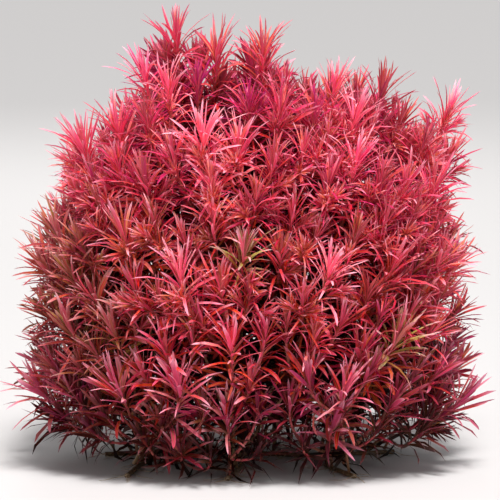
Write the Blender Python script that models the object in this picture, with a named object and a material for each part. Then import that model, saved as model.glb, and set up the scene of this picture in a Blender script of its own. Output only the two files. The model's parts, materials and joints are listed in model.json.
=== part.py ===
"""A bush of narrow-leaved red rotala, cut off flat at the ground.

The bush is a thicket of leafy shoots. Each shoot rises from a joint of a creeping stem that lies on
the ground. It leans outward and ends in rosettes of narrow leaves, one on its main stem and the
others on side shoots. A shoot is one closed mesh, with every leaf drawn out of a face of its stem.
"""

import math
import random

import bmesh
import bpy
import numpy as np
from mathutils import Vector

# Driving dimensions, in metres unless a name says otherwise

MM = 0.001
TINY = 1e-9

# The dome that the rosettes stand on
HALF_WIDTH = 0.122
HALF_DEPTH = 0.094
DOME_HEIGHT = 0.248
WAIST_HEIGHT = 0.085
BASE_TUCK = 0.55
WIDTH_ROUNDNESS = 2.3
DEPTH_ROUNDNESS = 1.75
BACK_HEIGHT = 0.215
BACK_HALF_WIDTH = 0.112
VIEW_TILT = math.radians(8.0)
FRONT_EDGE = 0.100
DEPTH_ROUNDS = 12
SLIMMEST_GIRTH = 0.045
SLIMMEST_HALF = 0.001

# Stems
STEM_RADIUS = 0.0012
TWIG_RADIUS = 0.0010
JOINT_LENGTH = 0.003
JOINT_DROP = 0.019
STEM_POINTS = 19
STEM_SPACING = 0.0045
LEAN_AT_BASE = 0.95
LEAN_AT_TOP = 0.30
FRONT_LEAN = 0.30
LOWEST_FORK = 0.30
HIGHEST_FORK = 0.74

# How far in from its rosette a stem's foot stands, as a share of the rosette's place
FOOT_SHARE_AT_BASE = 0.66
FOOT_SHARE_AT_TOP = 0.36

# The bend of a stem, as shares of the way from its foot to its tip
FOOT_RISE = 0.34
FOOT_LEAN = 0.12
TIP_RUN = 0.36

# How stems are pushed apart: the rounds, the smoothing after each, and the points of a side shoot
SPREAD_ROUNDS = 45
SMOOTHING = 0.15
TWIG_POINTS = 9

# Creeping stems, whose undersides are the flat cut that the bush rests on
CREEPER_RADIUS = 0.0016
GAP = 0.0003
ROOT_SPACING = 0.0085
ROOT_MARGIN = 0.006
BRANCH_START = 0.006

# Leaves
LEAF_LENGTH = 0.0215
SMALL_CROWN = 0.85
SHORTEST_LEAF = 0.004
LEAF_GAP = 0.0011
FLOOR_GAP = 0.0008
OWN_STEM_REACH = 0.0042
CROWN_RADIUS = 0.0014
BAND_HEIGHT = 0.0026
BUD_HEIGHT = 0.0022
LEAF_HALF_THICKNESS = 0.0004
LENGTH_SPREAD = (0.86, 1.12)

# The bands of a rosette: the rise of its lower and its upper leaves in degrees, and their lengths
LARGE_BANDS = ((8, 30, 0.95, 1.0), (45, 58, 0.98, 0.85))
SMALL_BANDS = ((16, 42, 1.0, 0.95),)
TOP_LEAF_RISE = 68
TOP_LEAF_LENGTHS = (0.55, 0.80)

# The other ways a leaf may grow where its own is blocked: turned sideways and raised, in degrees
LEAF_TURNS = ((0, 0), (13, 5), (-13, 5), (8, -11), (-8, -11), (0, 14))
TURN_SPREAD = 7
RISE_SPREAD = 5
LENGTH_GAIN = 0.001

# The search for room along a leaf
ROOM_PROBES = 14
FIRST_PROBE = 0.08
NEAR_MARGIN = 0.004
MOST_SEGMENTS = 6000

# Where the colours of the bush change
CORAL_HEIGHT = 0.150
RED_HEIGHT = 0.070
OLIVE_SIDE = -0.070
OLIVE_HEIGHT = 0.055

SEED = 11

# Every front shoot: how far it stands behind the dome, then the middle of each rosette as it shows
# from the front, across and up in millimetres. The first rosette is the main stem's own.
FRONT_SHOOTS = (
    (15, (-40, 240), (-18, 231), (-28, 215)),
    (5, (7, 230), (19, 214), (-1, 203)),
    (0, (-56, 218), (-43, 211), (-55, 196)),
    (0, (45, 211), (55, 194), (34, 198)),
    (32, (70, 208), (81, 195), (64, 187)),
    (10, (107, 199), (93, 183), (107, 176)),
    (0, (-88, 179), (-82, 162), (-92, 157)),
    (0, (-70, 189), (-69, 170), (-55, 162)),
    (-6, (-25, 183), (-41, 177), (-20, 162)),
    (0, (16, 200), (28, 178), (41, 183)),
    (-4, (-6, 178), (12, 173), (3, 153)),
    (-4, (55, 170), (41, 162), (69, 163)),
    (-4, (82, 160), (86, 144), (71, 141)),
    (0, (97, 157), (98, 137), (87, 127)),
    (0, (-19, 141), (-34, 132), (-3, 125)),
    (0, (-66, 133), (-50, 141), (-79, 148)),
    (0, (-101, 133), (-88, 128), (-107, 115)),
    (0, (-94, 112), (-82, 102), (-105, 96)),
    (-4, (-36, 111), (-47, 101), (-61, 108)),
    (0, (-15, 106), (-26, 90), (0, 105)),
    (0, (22, 145), (16, 123), (34, 133)),
    (-4, (41, 114), (55, 132), (28, 102)),
    (0, (74, 116), (87, 117), (62, 102)),
    (0, (99, 118), (88, 100), (101, 102)),
    (0, (-72, 84), (-63, 95), (-82, 73)),
    (0, (-94, 82), (-103, 62), (-90, 64)),
    (0, (-44, 73), (-30, 82), (-56, 61)),
    (0, (-10, 78), (8, 82), (0, 56)),
    (0, (33, 78), (19, 90), (48, 89)),
    (0, (76, 77), (58, 73), (69, 93)),
    (0, (95, 82), (84, 92), (99, 60)),
    (0, (-111, 49), (-94, 50), (-99, 37)),
    (0, (-69, 52), (-78, 41), (-84, 30)),
    (-4, (-37, 53), (-47, 36), (-24, 44)),
    (0, (-12, 37), (4, 42), (4, 20)),
    (-4, (50, 53), (31, 59), (63, 63)),
    (0, (44, 34), (21, 44), (28, 25)),
    (0, (76, 46), (88, 62), (68, 31)),
    (0, (111, 42), (98, 43), (92, 30)),
    (0, (-37, 21), (-56, 26), (-21, 19)),
)

# The back shoots stand in rings round the sides and the back: height, count, first and last
# bearing in degrees. Their side shoots stand to the left, to the right and below.
BACK_RINGS = (
    (0.048, 4, -6, 186),
    (0.106, 4, -10, 190),
    (0.156, 3, 16, 164),
    (0.190, 2, 52, 128),
)
BACK_SIDE_SHOOTS = ((-0.034, 0.008), (0.032, 0.011), (0.004, -0.026))

# Creeping stems, as points on the ground in millimetres. A side branch starts at a share of the
# main stem's length and leaves it square, to the front or to the back.
MAIN_CREEPER = ((-80, -4), (-45, 6), (-8, 2), (30, -6), (80, 3))
BRANCHES = (
    ("creeping_stem_front_left", 0.20, -1, ((-60, -32), (-66, -62))),
    ("creeping_stem_front_middle", 0.46, -1, ((-4, -34), (-12, -70))),
    ("creeping_stem_front_right", 0.74, -1, ((42, -36), (56, -64))),
    ("creeping_stem_back_left", 0.32, 1, ((-32, 34), (-46, 62))),
    ("creeping_stem_back_middle", 0.58, 1, ((16, 34), (8, 66))),
    ("creeping_stem_back_right", 0.84, 1, ((58, 30), (66, 54))),
)

# Colours, with the roughness of each
TONES = {
    "coral": ((0.80, 0.12, 0.16), 0.45),
    "red": ((0.55, 0.05, 0.07), 0.45),
    "olive": ((0.36, 0.16, 0.08), 0.50),
    "wine": ((0.28, 0.03, 0.06), 0.50),
    "bark": ((0.20, 0.13, 0.07), 0.65),
}


# The scene

def clear_scene():
    for thing in list(bpy.data.objects):
        bpy.data.objects.remove(thing, do_unlink=True)


def make_material(name, tone):
    colour, roughness = TONES[tone]
    material = bpy.data.materials.new(name)
    material.use_nodes = True
    surface = material.node_tree.nodes["Principled BSDF"]
    surface.inputs["Base Color"].default_value = (*colour, 1.0)
    surface.inputs["Roughness"].default_value = roughness
    surface.inputs["Metallic"].default_value = 0.0
    return material


def place_object(name, mesh, tone, collection, parent):
    """Turns a finished mesh into a named object with its own material."""
    data = bpy.data.meshes.new(name)
    mesh.to_mesh(data)
    mesh.free()
    data.materials.append(make_material(name, tone))
    piece = bpy.data.objects.new(name, data)
    piece.parent = parent
    collection.objects.link(piece)
    return piece


# The form of the bush

def dome_share(height, roundness):
    """How wide or deep the dome is at a height, as a share of its widest part."""
    if height > WAIST_HEIGHT:
        level = min(1.0, (height - WAIST_HEIGHT) / (DOME_HEIGHT - WAIST_HEIGHT))
    else:
        level = BASE_TUCK * (WAIST_HEIGHT - height) / WAIST_HEIGHT
    return max(0.0, 1.0 - level ** roundness) ** (1.0 / roundness)


def front_point(across, up, behind):
    """The place in space of a rosette that shows at a height above the bush's front edge."""
    depth = -HALF_DEPTH
    for _ in range(DEPTH_ROUNDS):
        height = (up - (depth + FRONT_EDGE) * math.sin(VIEW_TILT)) / math.cos(VIEW_TILT)
        half_width = HALF_WIDTH * dome_share(height, WIDTH_ROUNDNESS)
        edge = min(1.0, abs(across) / max(half_width, SLIMMEST_HALF)) ** WIDTH_ROUNDNESS
        share = dome_share(height, DEPTH_ROUNDNESS) * (1.0 - edge) ** (1.0 / WIDTH_ROUNDNESS)
        depth = (depth + behind - HALF_DEPTH * share) / 2
    return Vector((across, depth, height))


def back_point(bearing, height):
    """The place of a rosette at a bearing round the sides and the back of the dome."""
    share = dome_share(height * DOME_HEIGHT / BACK_HEIGHT, WIDTH_ROUNDNESS)
    across = BACK_HALF_WIDTH * share * math.cos(bearing)
    return Vector((across, HALF_DEPTH * share * math.sin(bearing), height))


def growing_direction(tip):
    """Rosettes lean out to the left and right most near the ground, and less to front and back."""
    level = min(1.0, tip.z / DOME_HEIGHT)
    lean = LEAN_AT_BASE + (LEAN_AT_TOP - LEAN_AT_BASE) * level
    outward = Vector((tip.x / HALF_WIDTH, FRONT_LEAN * tip.y / HALF_DEPTH, 0.0))
    return (outward * lean + Vector((0.0, 0.0, 1.0))).normalized()


def list_shoots():
    """Names every shoot and gives the middles of its rosettes."""
    shoots = []
    for number, (behind, *views) in enumerate(FRONT_SHOOTS, start=1):
        tips = [front_point(across * MM, up * MM, behind * MM) for across, up in views]
        shoots.append((f"front_shoot_{number:02d}", tips))
    number = 0
    for height, count, first, last in BACK_RINGS:
        for place in range(count):
            number += 1
            bearing = math.radians(first + (last - first) * place / (count - 1))
            tips = [back_point(bearing, height)]
            girth = max(SLIMMEST_GIRTH, math.hypot(tips[0].x, tips[0].y))
            for sideways, rise in BACK_SIDE_SHOOTS:
                tips.append(back_point(bearing + sideways / girth, height + rise))
            shoots.append((f"back_shoot_{number:02d}", tips))
    return shoots


# Creeping stems

def creeper_paths():
    """The middle line of every creeping stem, with branches that clear the main stem by the gap."""
    level = CREEPER_RADIUS * math.sqrt(0.5)
    main = [Vector((across * MM, depth * MM, level)) for across, depth in MAIN_CREEPER]
    paths = [("creeping_stem_main", main)]
    lengths = [(end - start).length for start, end in zip(main, main[1:])]
    for name, share, side, points in BRANCHES:
        distance = share * sum(lengths)
        span = 0
        while distance > lengths[span]:
            distance -= lengths[span]
            span += 1
        direction = (main[span + 1] - main[span]).normalized()
        square = Vector((-direction.y, direction.x, 0.0)) * side
        start = main[span] + direction * distance + square * (level + GAP)
        path = [start, start + square * BRANCH_START]
        path += [Vector((across * MM, depth * MM, level)) for across, depth in points]
        paths.append((name, path))
    return paths


def rooting_places(paths):
    """The joints along the creeping stems, where shoots rise."""
    places = []
    for _, path in paths:
        lengths = [(end - start).length for start, end in zip(path, path[1:])]
        total = sum(lengths)
        count = int((total - 2 * ROOT_MARGIN) / ROOT_SPACING) + 1
        for number in range(count):
            distance = ROOT_MARGIN + (total - 2 * ROOT_MARGIN) * number / (count - 1)
            span = 0
            while span < len(lengths) - 1 and distance > lengths[span]:
                distance -= lengths[span]
                span += 1
            places.append(path[span].lerp(path[span + 1], distance / lengths[span]))
    top = 2 * CREEPER_RADIUS * math.sqrt(0.5) + GAP
    return [Vector((place.x, place.y, top)) for place in places]


def choose_feet(shoots, places):
    """Gives each shoot a joint near the spot under it, and trades joints until no stems cross over."""
    wishes = []
    for _, tips in shoots:
        level = min(1.0, tips[0].z / DOME_HEIGHT)
        share = FOOT_SHARE_AT_BASE + (FOOT_SHARE_AT_TOP - FOOT_SHARE_AT_BASE) * level
        wishes.append(Vector((tips[0].x * share, tips[0].y * share, places[0].z)))
    wishes += [None] * (len(places) - len(shoots))
    feet = list(places)
    traded = True
    while traded:
        traded = False
        for one in range(len(shoots)):
            for other in range(one + 1, len(feet)):
                stay = (wishes[one] - feet[one]).length_squared
                trade = (wishes[one] - feet[other]).length_squared
                if wishes[other] is not None:
                    stay += (wishes[other] - feet[other]).length_squared
                    trade += (wishes[other] - feet[one]).length_squared
                if trade < stay - TINY:
                    feet[one], feet[other] = feet[other], feet[one]
                    traded = True
    return feet[:len(shoots)]


# Stems

def curve_points(foot, tip, direction):
    """A stem that leaves its foot upright and reaches its tip in the growing direction."""
    reach = (tip - foot).length
    outward = Vector((tip.x - foot.x, tip.y - foot.y, 0.0))
    first = foot + Vector((0.0, 0.0, FOOT_RISE * reach)) + outward * FOOT_LEAN
    second = tip - direction * TIP_RUN * reach
    points = []
    for step in range(STEM_POINTS):
        t = step / (STEM_POINTS - 1)
        points.append(
            foot * (1 - t) ** 3
            + first * 3 * t * (1 - t) ** 2
            + second * 3 * t ** 2 * (1 - t)
            + tip * t ** 3
        )
    return np.array(points)


def joint_share(tips, path):
    """How far up its stem a shoot forks: below its lowest side rosette."""
    lowest = min(tip.z for tip in tips[1:]) - JOINT_DROP
    heights = path[:, 2]
    share = float(np.searchsorted(heights, lowest)) / (STEM_POINTS - 1)
    return min(HIGHEST_FORK, max(LOWEST_FORK, share))


def point_at(path, share):
    place = share * (STEM_POINTS - 1)
    low = min(int(place), STEM_POINTS - 2)
    return path[low] + (path[low + 1] - path[low]) * (place - low)


def spread_stems(paths, forks, side_tips):
    """Pushes the stems apart where they pass too close to each other."""
    count = len(paths)
    bend = np.sqrt(np.abs(np.sin(np.linspace(0.0, math.pi, STEM_POINTS))))
    bend[0] = 0.0
    bend[-1] = 0.0
    steps = np.linspace(0.0, 1.0, TWIG_POINTS)
    for _ in range(SPREAD_ROUNDS):
        stems = np.concatenate(paths)
        owners = np.repeat(np.arange(count), STEM_POINTS)
        twigs = []
        twig_owners = []
        for index, tips in enumerate(side_tips):
            fork = point_at(paths[index], forks[index])
            for tip in tips:
                twigs.append(fork + steps[1:, None] * (np.array(tip) - fork))
                twig_owners += [index] * (len(steps) - 1)
        everything = np.concatenate([stems, *twigs])
        all_owners = np.concatenate([owners, np.array(twig_owners)])
        offsets = stems[:, None, :] - everything[None, :, :]
        distances = np.sqrt((offsets ** 2).sum(axis=2))
        distances[owners[:, None] == all_owners[None, :]] = 1.0
        push = np.clip(STEM_SPACING - distances, 0.0, None) * 0.5
        push /= np.maximum(distances, TINY)
        moves = (offsets * push[:, :, None]).sum(axis=1).reshape(count, STEM_POINTS, 3)
        for index, path in enumerate(paths):
            path += moves[index] * bend[:, None]
            path[1:-1] += SMOOTHING * (path[:-2] + path[2:] - 2 * path[1:-1])
    return paths


# Leaves

class Thicket:
    """The stems and leaves grown so far, as line segments that a new leaf keeps clear of."""

    def __init__(self, room):
        self.starts = np.zeros((room, 3))
        self.spans = np.zeros((room, 3))
        self.widths = np.zeros(room)
        self.owners = np.zeros(room, dtype=int)
        self.count = 0

    def add(self, start, end, width, owner):
        self.starts[self.count] = start
        self.spans[self.count] = np.array(end) - np.array(start)
        self.widths[self.count] = width
        self.owners[self.count] = owner
        self.count += 1

    def free_length(self, base, direction, length, owner):
        """How far a leaf reaches before it comes too near to a stem, a leaf or the ground."""
        starts = self.starts[:self.count]
        spans = self.spans[:self.count]
        half = 0.5 * np.linalg.norm(spans, axis=1)
        near = np.linalg.norm(starts + 0.5 * spans - base, axis=1) < length + half + NEAR_MARGIN
        starts = starts[near]
        spans = spans[near]
        steps = np.linspace(FIRST_PROBE, 1.0, ROOM_PROBES) * length
        points = base + steps[:, None] * direction
        offsets = points[:, None, :] - starts[None, :, :]
        squares = np.maximum((spans ** 2).sum(axis=1), TINY)
        shares = np.clip((offsets * spans[None]).sum(axis=2) / squares, 0.0, 1.0)
        gaps = np.linalg.norm(offsets - shares[:, :, None] * spans[None], axis=2)
        gaps = gaps - self.widths[:self.count][near]
        own = self.owners[:self.count][near] == owner
        gaps[np.ix_(steps < OWN_STEM_REACH, own)] = 1.0
        blocked = (gaps < LEAF_GAP).any(axis=1) | (points[:, 2] < FLOOR_GAP)
        if not blocked.any():
            return length
        first = int(np.argmax(blocked))
        return float(steps[first - 1]) if first > 0 else 0.0


def draw_leaf(mesh, face, axis, rise, length, thicket, owner, chance):
    """Draws one face of a stem out into a pointed leaf, as far as there is room for it."""
    centre = face.calc_center_median()
    radial = face.normal - axis * face.normal.dot(axis)
    radial.normalize()
    sideways = axis.cross(radial)
    best = (0.0, None)
    for turn, extra_rise in LEAF_TURNS:
        swing = math.radians(turn + chance.uniform(-TURN_SPREAD, TURN_SPREAD))
        lift = math.radians(rise + extra_rise + chance.uniform(-RISE_SPREAD, RISE_SPREAD))
        spread = radial * math.cos(swing) + sideways * math.sin(swing)
        direction = spread * math.cos(lift) + axis * math.sin(lift)
        free = thicket.free_length(np.array(centre), np.array(direction), length, owner)
        if free > best[0] + LENGTH_GAIN:
            best = (free, direction)
        if free == length:
            break
    free, direction = best
    if free < SHORTEST_LEAF:
        return
    tip = centre + direction * free
    point = bmesh.ops.poke(mesh, faces=[face])["verts"][0]
    point.co = tip
    thicket.add(centre, tip, LEAF_HALF_THICKNESS, owner)


# Shoots

def grow(mesh, face, axis, centre, radius, turn=0.0):
    """Extrudes the square end of a stem to a new ring, and returns the new end with its four sides."""
    middle = face.calc_center_median()
    heading = (centre - middle).normalized()
    face.normal_update()
    corner = face.normal.rotation_difference(heading) @ (face.verts[0].co - middle)
    across = (heading.rotation_difference(axis) @ corner).normalized()
    along = axis.cross(across)
    end = bmesh.ops.extrude_discrete_faces(mesh, faces=[face])["faces"][0]
    for number, vertex in enumerate(end.verts):
        angle = turn + number * math.pi / 2
        vertex.co = centre + radius * (across * math.cos(angle) + along * math.sin(angle))
    sides = []
    for edge in end.edges:
        sides += [side for side in edge.link_faces if side is not end]
    return end, sides


def start_stem(mesh, radius, foot, tip):
    """The first stretch of a stem, between two rings, each a middle, an axis and a corner's direction."""
    made = bmesh.ops.create_cone(
        mesh, cap_ends=True, segments=4, radius1=radius, radius2=radius, depth=1.0
    )
    faces = {face for vertex in made["verts"] for face in vertex.link_faces}
    end = max(faces, key=lambda face: face.calc_center_median().z)
    for vertex in made["verts"]:
        centre, axis, corner = tip if vertex.co.z > 0.0 else foot
        vertex.co = centre + corner * vertex.co.x + axis.cross(corner) * vertex.co.y
    return end


def share_edge(one, other):
    return any(edge.other_vert(one) is other for edge in one.link_edges)


def crown(mesh, end, axis, neck, large, size, thicket, owner, chance):
    """A rosette: bands of leaves round the stem's tip, and upright young leaves over them."""
    centre = neck
    for low_rise, high_rise, low_length, high_length in LARGE_BANDS if large else SMALL_BANDS:
        centre = centre + axis * BAND_HEIGHT
        lower = list(end.verts)
        end, sides = grow(mesh, end, axis, centre, CROWN_RADIUS, math.pi / 4)
        upper = list(end.verts)
        leaves = []
        for side in sides:
            corners = [vertex for vertex in side.verts if vertex in lower]
            tops = [vertex for vertex in side.verts if vertex in upper]
            cuts = [(low, top) for low in corners for top in tops if not share_edge(low, top)]
            low, top = min(cuts, key=lambda pair: (pair[0].co - pair[1].co).length)
            made = bmesh.utils.face_split(side, low, top)
            for half in (side, made[0]):
                points_up = sum(1 for vertex in half.verts if vertex in upper) == 1
                leaves.append((half, points_up))
        mesh.normal_update()
        for face, points_up in leaves:
            rise = low_rise if points_up else high_rise
            share = low_length if points_up else high_length
            length = LEAF_LENGTH * size * share * chance.uniform(*LENGTH_SPREAD)
            draw_leaf(mesh, face, axis, rise, length, thicket, owner, chance)
    point = bmesh.ops.poke(mesh, faces=[end])
    point["verts"][0].co = centre + axis * BUD_HEIGHT
    mesh.normal_update()
    for face in point["faces"]:
        length = LEAF_LENGTH * size * chance.uniform(*TOP_LEAF_LENGTHS)
        draw_leaf(mesh, face, axis, TOP_LEAF_RISE, length, thicket, owner, chance)


def build_shoot(foot, path, fork, tips, large, thicket, owner, chance):
    """One shoot: its stem, its fork with the side shoots, and a rosette on each tip."""
    mesh = bmesh.new()
    joint = Vector(point_at(path, fork))
    neck = Vector(path[-1])
    rise = (neck - joint).normalized()
    up = Vector((0.0, 0.0, 1.0))
    east = Vector((1.0, 0.0, 0.0))
    corner = (east - rise * east.dot(rise)).normalized()
    end = start_stem(mesh, STEM_RADIUS, (foot, up, east), (joint, rise, corner))
    joint_top = joint + rise * JOINT_LENGTH
    end, sides = grow(mesh, end, rise, joint_top, STEM_RADIUS)
    mesh.normal_update()
    centre = joint + rise * 0.5 * JOINT_LENGTH
    twigs = []
    for tip in tips[1:]:
        direction = (tip - centre).normalized()
        face = max(sides, key=lambda side: side.normal.dot(direction))
        sides.remove(face)
        twigs.append((face, tip, growing_direction(tip)))
    axis = growing_direction(tips[0])
    end, _ = grow(mesh, end, axis, neck, STEM_RADIUS)
    crown(mesh, end, axis, neck, large, 1.0, thicket, owner, chance)
    for face, tip, twig_axis in twigs:
        end, _ = grow(mesh, face, twig_axis, tip, TWIG_RADIUS)
        crown(mesh, end, twig_axis, tip, False, SMALL_CROWN, thicket, owner, chance)
    return mesh


def neck_of(tip):
    """A rosette's stem ends a little below its middle."""
    return tip - growing_direction(tip) * BAND_HEIGHT


def level_ring(ring, centre, axis):
    """Turns a creeping stem's square ring until its lower side lies flat on the ground."""
    up = Vector((0.0, 0.0, 1.0))
    side = axis.cross(up)
    half = CREEPER_RADIUS * math.sqrt(0.5)
    for vertex in ring.verts:
        offset = vertex.co - centre
        across = math.copysign(half, offset.dot(side))
        vertex.co = centre + side * across + up * math.copysign(half, offset.z)


def build_creeper(path):
    """One creeping stem: a square tube whose underside lies flat on the ground."""
    mesh = bmesh.new()
    up = Vector((0.0, 0.0, 1.0))
    axes = []
    for index in range(len(path)):
        before = path[max(index - 1, 0)]
        after = path[min(index + 1, len(path) - 1)]
        axes.append((after - before).normalized())
    corners = [(axis.cross(up) + up).normalized() for axis in axes]
    end = start_stem(
        mesh, CREEPER_RADIUS, (path[0], axes[0], corners[0]), (path[1], axes[1], corners[1])
    )
    for point, axis in zip(path[2:], axes[2:]):
        end, _ = grow(mesh, end, axis, point, CREEPER_RADIUS)
        level_ring(end, point, axis)
    return mesh


def tone_of(tip):
    """Young tops are coral, the left side is olive, and the shoots near the ground are wine red."""
    if tip.z > CORAL_HEIGHT:
        return "coral"
    if tip.x < OLIVE_SIDE and tip.z > OLIVE_HEIGHT:
        return "olive"
    return "red" if tip.z > RED_HEIGHT else "wine"


def build_bush():
    clear_scene()
    bush = bpy.data.collections.new("rotala")
    bpy.context.scene.collection.children.link(bush)
    root = bpy.data.objects.new("rotala_root", None)
    bush.objects.link(root)
    chance = random.Random(SEED)

    creepers = creeper_paths()
    for name, path in creepers:
        place_object(name, build_creeper(path), "bark", bush, root)

    shoots = list_shoots()
    feet = choose_feet(shoots, rooting_places(creepers))
    necks = [[neck_of(tip) for tip in tips] for _, tips in shoots]
    paths = []
    for (_, tips), foot, shoot_necks in zip(shoots, feet, necks):
        paths.append(curve_points(foot, shoot_necks[0], growing_direction(tips[0])))
    forks = [joint_share(tips, path) for (_, tips), path in zip(shoots, paths)]
    paths = spread_stems(paths, forks, [shoot_necks[1:] for shoot_necks in necks])

    thicket = Thicket(MOST_SEGMENTS)
    for owner, (path, fork, shoot_necks) in enumerate(zip(paths, forks, necks)):
        joint = point_at(path, fork)
        thicket.add(path[0], joint, STEM_RADIUS, owner)
        thicket.add(joint, path[-1], STEM_RADIUS, owner)
        for neck in shoot_necks[1:]:
            thicket.add(joint, neck, STEM_RADIUS, owner)
        for neck, tip in zip(shoot_necks, shoots[owner][1]):
            top = tip + growing_direction(tip) * (BAND_HEIGHT + BUD_HEIGHT)
            thicket.add(neck, top, CROWN_RADIUS, owner)
    for owner, ((name, tips), foot, path) in enumerate(zip(shoots, feet, paths)):
        large = name.startswith("front")
        mesh = build_shoot(foot, path, forks[owner], necks[owner], large, thicket, owner, chance)
        place_object(name, mesh, tone_of(tips[0]), bush, root)


build_bush()
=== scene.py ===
import sys
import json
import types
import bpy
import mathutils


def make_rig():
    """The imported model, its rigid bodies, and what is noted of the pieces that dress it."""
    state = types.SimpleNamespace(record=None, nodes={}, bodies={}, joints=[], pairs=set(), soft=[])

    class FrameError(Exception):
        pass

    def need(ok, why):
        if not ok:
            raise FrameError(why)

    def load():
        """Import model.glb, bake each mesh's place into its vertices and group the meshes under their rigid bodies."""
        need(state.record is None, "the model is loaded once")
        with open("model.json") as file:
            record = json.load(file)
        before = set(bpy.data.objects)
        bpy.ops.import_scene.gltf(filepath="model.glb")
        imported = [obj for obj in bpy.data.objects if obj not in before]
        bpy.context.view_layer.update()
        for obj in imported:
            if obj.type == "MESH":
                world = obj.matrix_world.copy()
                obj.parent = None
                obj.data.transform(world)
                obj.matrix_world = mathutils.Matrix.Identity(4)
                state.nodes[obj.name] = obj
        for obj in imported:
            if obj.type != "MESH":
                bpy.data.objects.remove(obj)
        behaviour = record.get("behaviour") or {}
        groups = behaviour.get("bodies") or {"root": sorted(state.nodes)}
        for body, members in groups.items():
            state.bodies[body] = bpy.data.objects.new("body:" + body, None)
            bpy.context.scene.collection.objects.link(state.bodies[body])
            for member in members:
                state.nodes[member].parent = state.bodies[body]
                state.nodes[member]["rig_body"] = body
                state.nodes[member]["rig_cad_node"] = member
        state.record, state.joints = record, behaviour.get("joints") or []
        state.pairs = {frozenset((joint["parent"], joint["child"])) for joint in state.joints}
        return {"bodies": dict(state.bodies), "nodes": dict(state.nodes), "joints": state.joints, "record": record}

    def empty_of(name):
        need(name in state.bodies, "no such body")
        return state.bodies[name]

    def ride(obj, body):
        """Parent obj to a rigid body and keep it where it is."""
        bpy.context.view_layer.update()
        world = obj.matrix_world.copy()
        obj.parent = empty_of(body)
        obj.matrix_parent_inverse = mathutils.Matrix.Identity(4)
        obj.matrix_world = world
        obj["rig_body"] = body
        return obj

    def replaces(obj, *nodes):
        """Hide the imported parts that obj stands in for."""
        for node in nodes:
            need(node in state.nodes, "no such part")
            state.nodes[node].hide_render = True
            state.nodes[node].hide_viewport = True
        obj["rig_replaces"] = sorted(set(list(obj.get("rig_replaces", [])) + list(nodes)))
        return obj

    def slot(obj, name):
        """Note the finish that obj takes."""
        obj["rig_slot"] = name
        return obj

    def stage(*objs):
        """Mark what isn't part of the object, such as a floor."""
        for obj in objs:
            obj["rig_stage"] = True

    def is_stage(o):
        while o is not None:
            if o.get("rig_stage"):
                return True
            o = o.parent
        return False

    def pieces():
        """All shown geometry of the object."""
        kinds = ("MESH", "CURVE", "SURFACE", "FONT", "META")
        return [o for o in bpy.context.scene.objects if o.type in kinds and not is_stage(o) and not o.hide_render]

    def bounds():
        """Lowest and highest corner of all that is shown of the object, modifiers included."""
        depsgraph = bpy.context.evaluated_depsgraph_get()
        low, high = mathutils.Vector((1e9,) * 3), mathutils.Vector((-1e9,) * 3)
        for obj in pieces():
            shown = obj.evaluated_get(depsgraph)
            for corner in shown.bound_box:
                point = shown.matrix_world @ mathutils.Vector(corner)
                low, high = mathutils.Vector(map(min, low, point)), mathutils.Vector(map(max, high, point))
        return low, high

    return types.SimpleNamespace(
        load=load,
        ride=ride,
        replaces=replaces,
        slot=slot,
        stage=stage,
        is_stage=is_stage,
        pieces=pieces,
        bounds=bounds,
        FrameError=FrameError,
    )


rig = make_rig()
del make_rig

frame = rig.load()

import itertools
import json
import math
import random

import bmesh
import bpy
import numpy as np
from mathutils import Vector

cad_box = [list(corner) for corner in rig.bounds()]


# The studio floor
# A pale paper floor lies under the bush and runs on to the horizon. It is scenery and not part of
# the plant, so it is marked as stage.

FLOOR_REACH = 40.0
FLOOR_COLOUR = (0.67, 0.66, 0.65, 1.0)
PAPER_FLECK = (0.64, 0.63, 0.62, 1.0)
GRAIN_SCALE = 900.0

bpy.ops.object.select_all(action="DESELECT")
bpy.ops.mesh.primitive_plane_add(size=2 * FLOOR_REACH, location=(0, 0, 0))
floor = bpy.context.object
floor.name = "studio_floor"
paper = bpy.data.materials.new("pale_paper")
paper.use_nodes = True
nodes = paper.node_tree.nodes
links = paper.node_tree.links
surface = nodes["Principled BSDF"]
surface.inputs["Roughness"].default_value = 0.85
where = nodes.new("ShaderNodeTexCoord")
grain = nodes.new("ShaderNodeTexNoise")
grain.inputs["Scale"].default_value = GRAIN_SCALE
shade = nodes.new("ShaderNodeMix")
shade.data_type = "RGBA"
shade.inputs["A"].default_value = FLOOR_COLOUR
shade.inputs["B"].default_value = PAPER_FLECK
links.new(where.outputs["Object"], grain.inputs["Vector"])
links.new(grain.outputs["Fac"], shade.inputs["Factor"])
links.new(shade.outputs["Result"], surface.inputs["Base Color"])
floor.data.materials.append(paper)
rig.stage(floor)


# The studio light
# A high soft light and a broad lamp over the bush, as a tank light hangs, with weak lamps at the
# sides and the back and a low even room light, so that the tops glow and the depths stay dark.

BUSH_MIDDLE = (0.0, 0.0, 0.12)
LAMP_PLACE = (0.10, -0.50, 1.25)


def hang_lamp(name, kind, place, power, colour):
    """Hangs a lamp at a place and points it at the middle of the bush."""
    lamp = bpy.data.lights.new(name, kind)
    lamp.energy = power
    lamp.color = colour
    holder = bpy.data.objects.new(name, lamp)
    holder.location = place
    holder.rotation_euler = (Vector(BUSH_MIDDLE) - Vector(place)).to_track_quat("-Z", "Y").to_euler()
    bpy.context.scene.collection.objects.link(holder)
    return lamp


def hang_disk(name, place, size, power, colour):
    lamp = hang_lamp(name, "AREA", place, power, colour)
    lamp.shape = "DISK"
    lamp.size = size


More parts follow.
